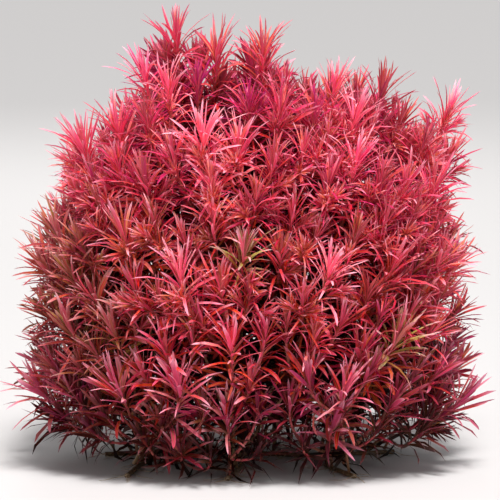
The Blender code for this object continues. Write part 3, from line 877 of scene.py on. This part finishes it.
stem_skin = bpy.data.materials.new("stem_skin")
stem_skin.use_nodes = True
tree = stem_skin.node_tree
surface = tree.nodes["Principled BSDF"]
parts = add_node(tree, "ShaderNodeSeparateXYZ")
tree.links.new(add_node(tree, "ShaderNodeUVMap", uv_map="place").outputs["UV"], parts.inputs["Vector"])
age = read_attribute(tree, "age")
body = mix_colours(tree, ramp(tree, age, 0.1, 0.9), (0.55, 0.060, 0.085, 1.0), (0.13, 0.075, 0.030, 1.0))
where = add_node(tree, "ShaderNodeTexCoord")
flecks = add_node(tree, "ShaderNodeTexNoise")
flecks.inputs["Scale"].default_value = 420.0
flecks.inputs["Detail"].default_value = 3.0
tree.links.new(where.outputs["Object"], flecks.inputs["Vector"])
body = mix_colours(tree, calculate(tree, "MULTIPLY", ramp(tree, flecks.outputs["Fac"], 0.45, 0.7), 0.5), body, (0.40, 0.26, 0.13, 1.0))
from_joint = calculate(tree, "ABSOLUTE", calculate(tree, "SUBTRACT", parts.outputs["Y"], 0.5), 0.0)
body = mix_colours(tree, calculate(tree, "MULTIPLY", ramp(tree, from_joint, 0.36, 0.5), 0.6), body, (0.09, 0.03, 0.02, 1.0))
tree.links.new(body, surface.inputs["Base Color"])
surface.inputs["Roughness"].default_value = 0.42
bump = add_node(tree, "ShaderNodeBump")
bump.inputs["Strength"].default_value = 0.3
bump.inputs["Distance"].default_value = 0.0002
tree.links.new(flecks.outputs["Fac"], bump.inputs["Height"])
tree.links.new(bump.outputs["Normal"], surface.inputs["Normal"])


# Growing copies of the forms
# Leaves and stretches of stem are bent, sized and placed as arrays, and joined into one mesh for
# each shoot. Every copy also gets a tile of its own in the map that a texture can be baked to.

TILE_SHAPE = 6.0
TILE_MARGIN = 0.08
GROUND_EASE = 0.002


def unit(vectors):
    return vectors / np.maximum(np.linalg.norm(vectors, axis=-1, keepdims=True), 1e-9)


class Growth:
    """The copies that make up one shoot, gathered until they are joined."""

    def __init__(self):
        self.points = []
        self.corners = []
        self.sizes = []
        self.places = []
        self.tiles = []
        self.slots = []
        self.traits = []
        self.point_count = 0
        self.tile_count = 0

    def add_copies(self, form, points, traits, slot, sides):
        """points holds one row of points for each copy, and traits its age, tint, blush and painted shade."""
        copies, size = points.shape[:2]
        starts = self.point_count + size * np.arange(copies)
        self.points.append(points.reshape(-1, 3))
        self.corners.append((starts[:, None] + form["corners"][None]).ravel())
        self.sizes.append(np.tile(form["sizes"], copies))
        self.slots.append(np.full(copies * len(form["sizes"]), slot))
        self.traits.append(np.repeat(traits, size, axis=0))
        self.places.append(np.tile(form["places"], (copies, 1)))
        lower = (form["places"][:, 0] >= UNDERSIDE - 0.01).astype(int) if sides == 2 else 0
        tiles = self.tile_count + sides * np.arange(copies)
        self.tiles.append((tiles[:, None] + (lower + np.zeros(len(form["corners"]), int))[None]).ravel())
        self.point_count += copies * size
        self.tile_count += sides * copies

    def leaves(self, blade, bases, headings, uppers, lengths, widths, arches, twists, sways, traits):
        """Bends the flat blade down and aside along arcs for each leaf and sets it on its stem."""
        form = blade["points"]
        along = form[None, :, 1]
        arch = np.where(np.abs(arches) < 0.01, 0.01, arches)[:, None]
        turn = arch * along
        reach = lengths[:, None]
        forward = reach * np.sin(turn) / arch
        sink = reach * (1.0 - np.cos(turn)) / arch
        heading = headings[:, None, :]
        upper = uppers[:, None, :]
        side = np.cross(headings, uppers)[:, None, :]
        middle = bases[:, None, :] + forward[..., None] * heading - sink[..., None] * upper
        middle = middle + (sways[:, None] * reach * along ** 2)[..., None] * side
        normal = np.sin(turn)[..., None] * heading + np.cos(turn)[..., None] * upper
        twist = twists[:, None] * along
        sway = np.cos(twist)[..., None] * side + np.sin(twist)[..., None] * normal
        face = np.cos(twist)[..., None] * normal - np.sin(twist)[..., None] * side
        wide = widths[:, None, None]
        points = middle + wide * (form[None, :, 0, None] * sway + form[None, :, 2, None] * face)
        self.add_copies(blade, points, traits, 0, 2)

    def stem(self, form, chain, radii, ages, slot=1):
        """Sets a stretch of stem between each pair of points of a chain."""
        starts = chain[:-1]
        ends = chain[1:]
        axis = unit(ends - starts)
        guide = np.where(np.abs(axis[:, 2:3]) > 0.9, np.array([[1.0, 0.0, 0.0]]), np.array([[0.0, 0.0, 1.0]]))
        side = unit(np.cross(axis, guide))
        front = np.cross(axis, side)
        ring = form["points"][None]
        radius = radii[:-1, None] + (radii[1:] - radii[:-1])[:, None] * ring[..., 2]
        points = starts[:, None, :] + (ends - starts)[:, None, :] * ring[..., 2, None]
        points = points + radius[..., None] * ring[..., 0, None] * side[:, None, :]
        points = points + radius[..., None] * ring[..., 1, None] * front[:, None, :]
        still = np.zeros(len(starts))
        traits = np.stack([ages[:-1], still, still, still], axis=1)
        self.add_copies(form, points, traits, slot, 1)

    def join(self, name, skins, cut=False):
        """Joins the copies into one object, cut off flat at the ground or bent up from it."""
        mesh = bpy.data.meshes.new(name)
        points = np.concatenate(self.points)
        if cut:
            points[:, 2] = np.maximum(points[:, 2], 0.0)
        else:
            low = points[:, 2] < GROUND_EASE
            points[low, 2] = GROUND_EASE * np.exp((points[low, 2] - GROUND_EASE) / GROUND_EASE)
        corners = np.concatenate(self.corners)
        sizes = np.concatenate(self.sizes)
        mesh.vertices.add(len(points))
        mesh.vertices.foreach_set("co", points.ravel())
        mesh.loops.add(len(corners))
        mesh.loops.foreach_set("vertex_index", corners)
        mesh.polygons.add(len(sizes))
        mesh.polygons.foreach_set("loop_start", np.concatenate([[0], np.cumsum(sizes)[:-1]]))
        mesh.polygons.foreach_set("material_index", np.concatenate(self.slots))
        mesh.update(calc_edges=True)
        places = np.concatenate(self.places)
        mesh.uv_layers.new(name="place").data.foreach_set("uv", places.ravel())
        columns = math.ceil(math.sqrt(self.tile_count * TILE_SHAPE))
        rows = math.ceil(self.tile_count / columns)
        tiles = np.concatenate(self.tiles)
        inner = np.stack([places[:, 0] % UNDERSIDE, places[:, 1]], axis=1)
        inner[:, 0] = np.clip(inner[:, 0], 0.0, 1.0)
        inner = TILE_MARGIN + (1.0 - 2 * TILE_MARGIN) * inner
        baked = np.stack([(tiles % columns + inner[:, 0]) / columns, (tiles // columns + inner[:, 1]) / rows], axis=1)
        mesh.uv_layers.new(name="OFBake").data.foreach_set("uv", baked.ravel())
        traits = np.concatenate(self.traits)
        for column, trait in enumerate(("age", "tint", "blush", "depth")):
            mesh.attributes.new(trait, "FLOAT", "POINT").data.foreach_set("value", traits[:, column])
        for skin in skins:
            mesh.materials.append(skin)
        piece = bpy.data.objects.new(name, mesh)
        bpy.context.scene.collection.objects.link(piece)
        bpy.ops.object.select_all(action="DESELECT")
        piece.select_set(True)
        bpy.context.view_layer.objects.active = piece
        bpy.ops.object.shade_smooth_by_angle(angle=math.radians(60))
        return piece


# The creeping stems and their roots
# Creeping stems lie on the ground, cut off flat underneath, and are knotty where shoots leave them.
# Fine pale roots grow from the knots and run out over the ground. Each stem replaces its solid.

KNOT_SPACING = 0.0085
CREEPER_ROUND = (0.00140, 0.00165)
ROOTS_AT_KNOT = 3
ROOT_LENGTHS = (0.008, 0.020)
ROOT_STEPS = 5
ROOT_RADIUS = 0.00026

root_skin = bpy.data.materials.new("root_skin")
root_skin.use_nodes = True
tree = root_skin.node_tree
surface = tree.nodes["Principled BSDF"]
where = add_node(tree, "ShaderNodeTexCoord")
blotches = add_node(tree, "ShaderNodeTexNoise")
blotches.inputs["Scale"].default_value = 260.0
tree.links.new(where.outputs["Object"], blotches.inputs["Vector"])
stained = ramp(tree, blotches.outputs["Fac"], 0.40, 0.66)
body = mix_colours(tree, stained, (0.62, 0.50, 0.36, 1.0), (0.30, 0.19, 0.10, 1.0))
tree.links.new(body, surface.inputs["Base Color"])
surface.inputs["Roughness"].default_value = 0.5
bump = add_node(tree, "ShaderNodeBump")
bump.inputs["Strength"].default_value = 0.3
bump.inputs["Distance"].default_value = 0.0001
tree.links.new(blotches.outputs["Fac"], bump.inputs["Height"])
tree.links.new(bump.outputs["Normal"], surface.inputs["Normal"])


def root_chain(knot, chance):
    """A root leaves its knot, bends down to the ground and wanders along it."""
    bearing = chance.uniform(0.0, 2 * math.pi)
    step = chance.uniform(*ROOT_LENGTHS) / ROOT_STEPS
    point = Vector((knot.x, knot.y, CREEPER_RADIUS))
    chain = [point]
    for _ in range(ROOT_STEPS):
        bearing += chance.uniform(-0.6, 0.6)
        point = point + Vector((math.cos(bearing), math.sin(bearing), 0.0)) * step
        point.z = max(ROOT_RADIUS * 0.7, 0.45 * point.z)
        chain.append(point)
    return np.array(chain)


chance = random.Random(5)
for name, path in creepers:
    lengths = [(end - start).length for start, end in zip(path, path[1:])]
    knots = max(3, round(sum(lengths) / KNOT_SPACING))
    chain = []
    for knot in range(knots + 1):
        distance = sum(lengths) * knot / knots
        span = 0
        while span < len(lengths) - 1 and distance > lengths[span]:
            distance -= lengths[span]
            span += 1
        chain.append(path[span].lerp(path[span + 1], min(1.0, distance / lengths[span])))
    growth = Growth()
    radii = np.array([chance.uniform(*CREEPER_ROUND) for _ in chain])
    growth.stem(creeper_form, np.array(chain), radii, np.full(len(chain), 1.0))
    for knot in chain:
        for _ in range(ROOTS_AT_KNOT):
            roots = root_chain(knot, chance)
            widths = ROOT_RADIUS * np.linspace(1.0, 0.5, len(roots))
            growth.stem(root_form, roots, widths, np.full(len(roots), 0.0), slot=2)
    piece = growth.join("rooted_" + name, [stem_skin, stem_skin, root_skin], cut=True)
    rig.ride(piece, "root")
    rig.replaces(piece, name)
    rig.slot(piece, "creeping_stems")


# The leafy shoots
# Each shoot is a jointed stem with a whorl of leaves at every joint. The whorls crowd at the tip,
# where the leaves are young and upright, and open wider apart lower down, where they arch over.

TONE_TOP = 0.150
TONE_MIDDLE = 0.070
LEAF_LENGTH = 0.0225
WIDTH_HEIGHTS = (0.05, 0.11, 0.20, 0.235)
LEAF_WIDTHS = (0.0018, 0.00140, 0.00120, 0.0017)
# For each rank of stem: the size of its leaves, the range of their brightness, and the painted shade added to them.
RANKS = {
    "leader": (1.06, (0.50, 1.0), 0.0),
    "side": (0.88, (0.15, 0.75), 0.20),
    "offshoot": (0.60, (0.20, 0.90), 0.08),
    "inner": (0.90, (0.0, 0.35), 0.62),
    "rear": (0.90, (0.10, 0.70), 0.15),
}
WHORL_STEPS = (0.0009, 0.0011, 0.0014, 0.0019, 0.0028, 0.0038, 0.0046, 0.0052, 0.0054)
AGE_REACH = 0.045
BLADES = {"folded": folded_leaf, "shaded": shaded_leaf, "hidden": hidden_leaf}
COUNTS = {}
STEM_RADIUS = 0.0010
WIDENING = {"inner": 1.60, "rear": 1.35}
BARE_HEIGHT = 0.030
LIKENESS = 0.45
HERO_LIKENESS = 0.62
# Painted shade added by the height of a stem's tip: more near the ground and at the very top.
DULL_HEIGHTS = (0.015, 0.085, 0.200, 0.228)
DULL_SHIFTS = (0.15, 0.0, 0.0, 0.16)
SCARLET_HEIGHTS = (0.095, 0.125, 0.175, 0.20)
SCARLET_SHIFTS = (0.0, 0.40, 0.40, 0.0)

# The heads that stand out in the photograph: how bright each is, and its hue from magenta (0) past
# red to olive (1), with green beyond that and a pale painted lilac sheen below 0.
HEAD_MOODS = {
    ("front_shoot_01", 0): (0.85, 0.60),
    ("front_shoot_01", 1): (0.80, 0.60),
    ("front_shoot_02", 0): (0.75, 0.80),
    ("front_shoot_03", 0): (0.95, -0.20),
    ("front_shoot_03", 1): (1.05, 0.40),
    ("front_shoot_04", 0): (1.15, 0.25),
    ("front_shoot_04", 1): (1.00, 0.10),
    ("front_shoot_05", 0): (0.15, 0.90),
    ("front_shoot_06", 0): (1.00, 0.30),
    ("front_shoot_07", 0): (0.80, 0.60),
    ("front_shoot_09", 0): (1.40, -0.20),
    ("front_shoot_11", 0): (0.90, 0.70),
    ("front_shoot_12", 0): (0.95, 0.10),
    ("front_shoot_15", 2): (0.80, 2.20),
    ("front_shoot_19", 0): (1.20, -0.50),
    ("front_shoot_22", 0): (1.30, -0.65),
    ("front_shoot_25", 0): (0.60, 0.95),
    ("front_shoot_28", 0): (1.05, 0.45),
    ("front_shoot_30", 0): (0.70, 2.20),
    ("front_shoot_32", 0): (0.95, 0.45),
    ("front_shoot_34", 0): (1.10, -0.10),
    ("front_shoot_35", 0): (1.00, 0.70),
    ("front_shoot_36", 0): (1.10, 0.25),
    ("front_shoot_37", 0): (1.10, -0.55),
    ("front_shoot_39", 0): (0.75, 0.10),
}


def tone_of(tip):
    if tip.z > TONE_TOP:
        return "coral"
    if tip.x < -0.070 and tip.z > 0.055:
        return "olive"
    return "red" if tip.z > TONE_MIDDLE else "wine"


def chain_length(chain):
    return float(np.linalg.norm(np.diff(chain, axis=0), axis=1).sum())


def along_chain(chain, distance):
    """The point and direction at a distance down from the end of a chain of points."""
    spans = np.linalg.norm(np.diff(chain, axis=0), axis=1)
    for span in range(len(spans) - 1, -1, -1):
        if distance <= spans[span]:
            share = distance / spans[span]
            return chain[span + 1] + (chain[span] - chain[span + 1]) * share, chain[span + 1] - chain[span]
        distance -= spans[span]
    return None, None


def leaf_length_at(distance):
    return float(np.interp(distance, (0.0, 0.0009, 0.002, 0.0035, 0.006, 0.012, 0.025, 0.06), (0.48, 0.72, 0.92, 1.04, 1.10, 1.02, 0.90, 0.74)))


def leaf_angle_at(distance):
    return float(np.interp(distance, (0.0, 0.001, 0.002, 0.0035, 0.0055, 0.009, 0.014, 0.022, 0.050), (4, 8, 12, 16, 21, 28, 35, 44, 58)))


def leaf_arch_at(distance):
    return float(np.interp(distance, (0.0, 0.002, 0.005, 0.010, 0.020, 0.060), (-4, 12, 34, 56, 72, 74)))


def depth_in_bush(point):
    """How much painted shade a point gets: 0 at the outside of the bush and 1 deep inside it, more near the ground and
    less high up.
    """
    if point[2] > WAIST_HEIGHT:
        up = (point[2] - WAIST_HEIGHT) / (DOME_HEIGHT - WAIST_HEIGHT)
        share = 1.0
    else:
        up = 0.0
        share = dome_share(point[2], WIDTH_ROUNDNESS)
    out = math.sqrt((point[0] / HALF_WIDTH / share) ** 2 + (point[1] / HALF_DEPTH / share) ** 2 + up ** 2)
    # Painted shade is added near the ground, and the painted shade inside the bush is weaker higher up.
    low = 0.50 * max(0.0, 1.0 - point[2] / 0.05)
    strength = float(np.interp(point[2], (0.08, 0.155), (1.0, 0.40)))
    edge = float(np.interp(point[2], (0.06, 0.15), (0.94, 0.88)))
    return min(1.0, strength * max(0.0, (edge - out) / 0.32) + low)


def blade_for(rank, depth, distance):
    """Leaves of the big heads get the finest blade, and the darkest ones the plainest."""
    if depth > 0.80:
        return "hidden"
    if depth > 0.34 or distance > 0.030 or rank in ("offshoot", "rear"):
        return "shaded"
    return "folded"


def dress_stem(growth, chain, reach, rank, chance, look=None):
    """Sets whorls of leaves down a stem from its tip, and its jointed stem between them."""
    joints = []
    distance = 0.0
    step = 0
    turn = chance.uniform(0.0, math.pi)
    size, moods, dimness = RANKS[rank]
    mood = chance.uniform(*moods)
    hue = min(1.0, chance.random() + float(np.interp(chain[-1][2], SCARLET_HEIGHTS, SCARLET_SHIFTS)))
    if look is not None:
        mood, hue = look
    size *= chance.uniform(0.88, 1.10)
    # The rank's painted shade fades higher up in the bush.
    dimness *= float(np.interp(chain[-1][2], (0.10, 0.17), (1.0, 0.15)))
    duller = float(np.interp(chain[-1][2], DULL_HEIGHTS, DULL_SHIFTS))
    likeness = HERO_LIKENESS if look is not None else LIKENESS
    leaves = []
    while distance < reach:
        point, heading = along_chain(chain, distance)
        if point is None:
            break
        joints.append((point, distance))
        axis = heading / np.linalg.norm(heading)
        side = np.cross(axis, (0.3, 0.2, 0.9))
        side /= np.linalg.norm(side)
        front = np.cross(axis, side)
        age = min(1.0, distance / AGE_REACH)
        deep = depth_in_bush(point)
        count = (3, 4, 5)[step] if step < 3 else chance.choice((5, 6)) + (0.10 < point[2] < 0.20) - (point[2] > 0.225)
        if distance > AGE_REACH:
            count = chance.choice((3, 4, 5)) if deep < 0.6 else 2
        if distance > 0.4 * AGE_REACH and point[2] < BARE_HEIGHT:
            count = chance.choice((0, 1, 2))
        for number in range(count):
            bearing = turn + 2 * math.pi * (number + chance.uniform(-0.18, 0.18)) / count
            spread = side * math.cos(bearing) + front * math.sin(bearing)
            angle = math.radians(leaf_angle_at(distance) + chance.gauss(0, 9))
            heading = axis * math.cos(angle) + spread * math.sin(angle)
            upper = axis * math.sin(angle) - spread * math.cos(angle)
            roll = math.radians(chance.gauss(0, 24))
            upper = upper * math.cos(roll) + np.cross(heading, upper) * math.sin(roll)
            length = LEAF_LENGTH * size * leaf_length_at(distance) * chance.uniform(0.76, 1.14)
            width = float(np.interp(point[2], WIDTH_HEIGHTS, LEAF_WIDTHS)) * (0.25 + 0.75 * size)
            width *= chance.choice((0.75, 0.85, 0.95, 1.0, 1.15, 1.45)) * (0.90 + 0.15 * age)
            width *= WIDENING.get(rank, 1.0)
            arch = math.radians(leaf_arch_at(distance) + chance.gauss(0, 20))
            twist = math.radians(chance.gauss(0, 34))
            sway = chance.gauss(0, 0.11)
            base = point + spread * STEM_RADIUS * 0.5
            # Painted shade: each leaf is darkened by its depth in the bush, how far down its stem it grows, its stem's
            # rank and the height of its stem's tip.
            far = min(0.4, max(0.0, (distance - 0.026) / 0.08))
            shade = deep + far + dimness + duller + chance.gauss(0, 0.06)
            own_depth = min(1.0, max(0.0, shade))
            own_mood = chance.random() * (1 - likeness) + mood * likeness
            own_hue = chance.random() * (1 - likeness) + hue * likeness
            traits = (age, own_mood, own_hue, own_depth)
            kind = blade_for(rank, own_depth, distance)
            leaves.append((kind, base, heading, upper, length, width, arch, twist, sway, traits))
        turn += math.pi / max(1, count) + chance.uniform(-0.2, 0.2)
        spacing = float(np.interp(point[2], (0.05, 0.16), (1.25, 1.0)))
        distance += WHORL_STEPS[min(step, len(WHORL_STEPS) - 1)] * spacing * chance.uniform(0.88, 1.12)
        step += 1
    for kind, blade in BLADES.items():
        kept = [leaf[1:] for leaf in leaves if leaf[0] == kind]
        if kept:
            growth.leaves(blade, *(np.array(column) for column in zip(*kept)))
        COUNTS[kind] = COUNTS.get(kind, 0) + len(kept)
        COUNTS[rank] = COUNTS.get(rank, 0) + len(kept)
    end, _ = along_chain(chain, min(reach, distance))
    if end is None:
        joints.append((chain[0], reach))
    stem = np.array([point for point, _ in joints])[::-1]
    gone = np.array([distance for _, distance in joints])[::-1]
    radii = STEM_RADIUS * np.interp(gone, (0.0, 0.006, 0.03, 0.2), (0.35, 0.72, 0.9, 1.05))
    growth.stem(stem_form, stem, radii, np.minimum(1.0, gone / 0.08))


def twig_chain(joint, neck, direction):
    """A side shoot bends from its joint into its growing direction."""
    reach = np.linalg.norm(neck - joint)
    bend = neck - direction * 0.42 * reach
    steps = np.linspace(0.0, 1.0, 9)[:, None]
    return joint * (1 - steps) ** 2 + bend * 2 * steps * (1 - steps) + neck * steps ** 2


# Weak side shoots that stay in the shade stand evenly spaced in three layers behind the front ones,
# and the last layer fills the back. Each belongs to the shoot whose stem passes nearest below it.
INNER_SPACING = 0.0168
INNER_REACH = 0.030
REAR_REACH = 0.024
INNER_DEPTHS = ((-0.50, -0.08), (0.02, 0.48), (0.58, 0.92))
REAR_DEPTH = 0.50
SIDE_SHARE = 0.72
JOINT_BELOW = 0.016


def is_sheltered(tip, heads):
    """Whether rosettes stand over the tip and further out, so that it stays inside the bush."""
    below = any(abs(head.x - tip.x) < 0.013 and head.z > tip.z + 0.006 for head in heads)
    side = 1.0 if tip.x > 0.0 else -1.0
    inside = any(side * (head.x - tip.x) > 0.006 and abs(head.z - tip.z) < 0.014 for head in heads)
    return below and inside


def list_inner_tips(heads, chance):
    tips = []
    rows = int(DOME_HEIGHT / INNER_SPACING)
    columns = int(2 * HALF_WIDTH / INNER_SPACING)
    layers = list(enumerate(INNER_DEPTHS))
    for row, column, (number, layer) in itertools.product(range(1, rows), range(columns + 1), layers):
        shift = 0.5 * ((row + number) % 2)
        across = -HALF_WIDTH + (column + shift) * INNER_SPACING + chance.uniform(-0.005, 0.005)
        height = row * INNER_SPACING + chance.uniform(-0.005, 0.005)
        half_width = 0.94 * HALF_WIDTH * dome_share(height, WIDTH_ROUNDNESS)
        depth = chance.uniform(*layer)
        if abs(across) < half_width and height < 0.93 * DOME_HEIGHT:
            edge = math.sqrt(1.0 - (across / half_width) ** 2)
            share = dome_share(height, DEPTH_ROUNDNESS) * edge
            tip = Vector((across, depth * HALF_DEPTH * share, height))
            if is_sheltered(tip, heads):
                is_outer = depth > REAR_DEPTH or abs(across) > SIDE_SHARE * half_width
                tips.append((tip, "rear" if is_outer else "inner"))
    return tips


def nearest_joint(tip, paths):
    """The shoot and the point of its stem that a side shoot ending at the tip grows from."""
    best = None
    for index, path in enumerate(paths):
        for point in path[3:]:
            if point[2] < tip.z - JOINT_BELOW:
                away = float(np.linalg.norm(point - np.array(tip)))
                if best is None or away < best[0]:
                    best = (away, index, point)
    return best


def offshoot_chain(chain, distance, chance):
    """A short side shoot that leaves a stem just below its rosette."""
    point, heading = along_chain(chain, distance)
    axis = heading / np.linalg.norm(heading)
    aside = np.array([chance.uniform(-1, 1), chance.uniform(-1, 1), chance.uniform(-0.3, 0.3)])
    aside -= axis * aside.dot(axis)
    aside /= np.linalg.norm(aside)
    direction = axis * math.cos(OFFSHOOT_SPREAD) + aside * math.sin(OFFSHOOT_SPREAD)
    reach = distance * chance.uniform(0.55, 0.95)
    return twig_chain(point, point + direction * reach, direction)


OFFSHOOT_SPREAD = math.radians(38)
OFFSHOOT_HEIGHTS = (0.095, 0.208)
BACK_OFFSHOOT_HEIGHTS = (0.015, 0.225)
OFFSHOOTS = 2

chance = random.Random(23)
inner = [[] for _ in shoots]
all_heads = [tip for _, tips in shoots for tip in tips]
for tip, rank in list_inner_tips(all_heads, chance):
    found = nearest_joint(tip, paths)
    if found is not None:
        inner[found[1]].append((np.array(tip), found[2], rank))
for (name, tips), shoot_necks, path, fork, own_inner in zip(shoots, necks, paths, forks, inner):
    growth = Growth()
    top = np.array(tips[0] + growing_direction(tips[0]) * 0.003)
    main = np.concatenate([path, top[None]])
    dress_stem(growth, main, chain_length(main), "leader", chance, HEAD_MOODS.get((name, 0)))
    joint = point_at(path, fork)
    heads = [main]
    for number, tip in enumerate(tips[1:], start=1):
        direction = growing_direction(tip)
        chain = twig_chain(joint, np.array(tip + direction * 0.002), np.array(direction))
        rank = "leader" if (name, number) in HEAD_MOODS else "side"
        look = HEAD_MOODS.get((name, number))
        dress_stem(growth, chain, chain_length(chain), rank, chance, look)
        heads.append(chain)
    lowest, highest = BACK_OFFSHOOT_HEIGHTS if name.startswith("back") else OFFSHOOT_HEIGHTS
    for chain in heads:
        if lowest < chain[-1][2] < highest:
            for _ in range(OFFSHOOTS + (0.125 < chain[-1][2] < 0.215)):
                twig = offshoot_chain(chain, chance.uniform(0.012, 0.020), chance)
                dress_stem(growth, twig, 0.010, "offshoot", chance)
    for tip, joint, rank in own_inner:
        direction = np.array(growing_direction(Vector(tip)))
        chain = twig_chain(joint, tip, direction)
        reach = min(REAR_REACH if rank == "rear" else INNER_REACH, chain_length(chain))
        dress_stem(growth, chain, reach, rank, chance)
    tone = tone_of(tips[0])
    piece = growth.join("leafy_" + name, [leaf_skins[tone], stem_skin])
    total_faces = globals().get("total_faces", 0) + sum(face.loop_total - 2 for face in piece.data.polygons)
    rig.ride(piece, "root")
    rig.replaces(piece, name)
    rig.slot(piece, tone + "_leaves")


print("TRIANGLES", total_faces, COUNTS)
with open("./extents.json", "w") as report:
    json.dump({"cad": cad_box, "visual": [list(corner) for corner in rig.bounds()]}, report)
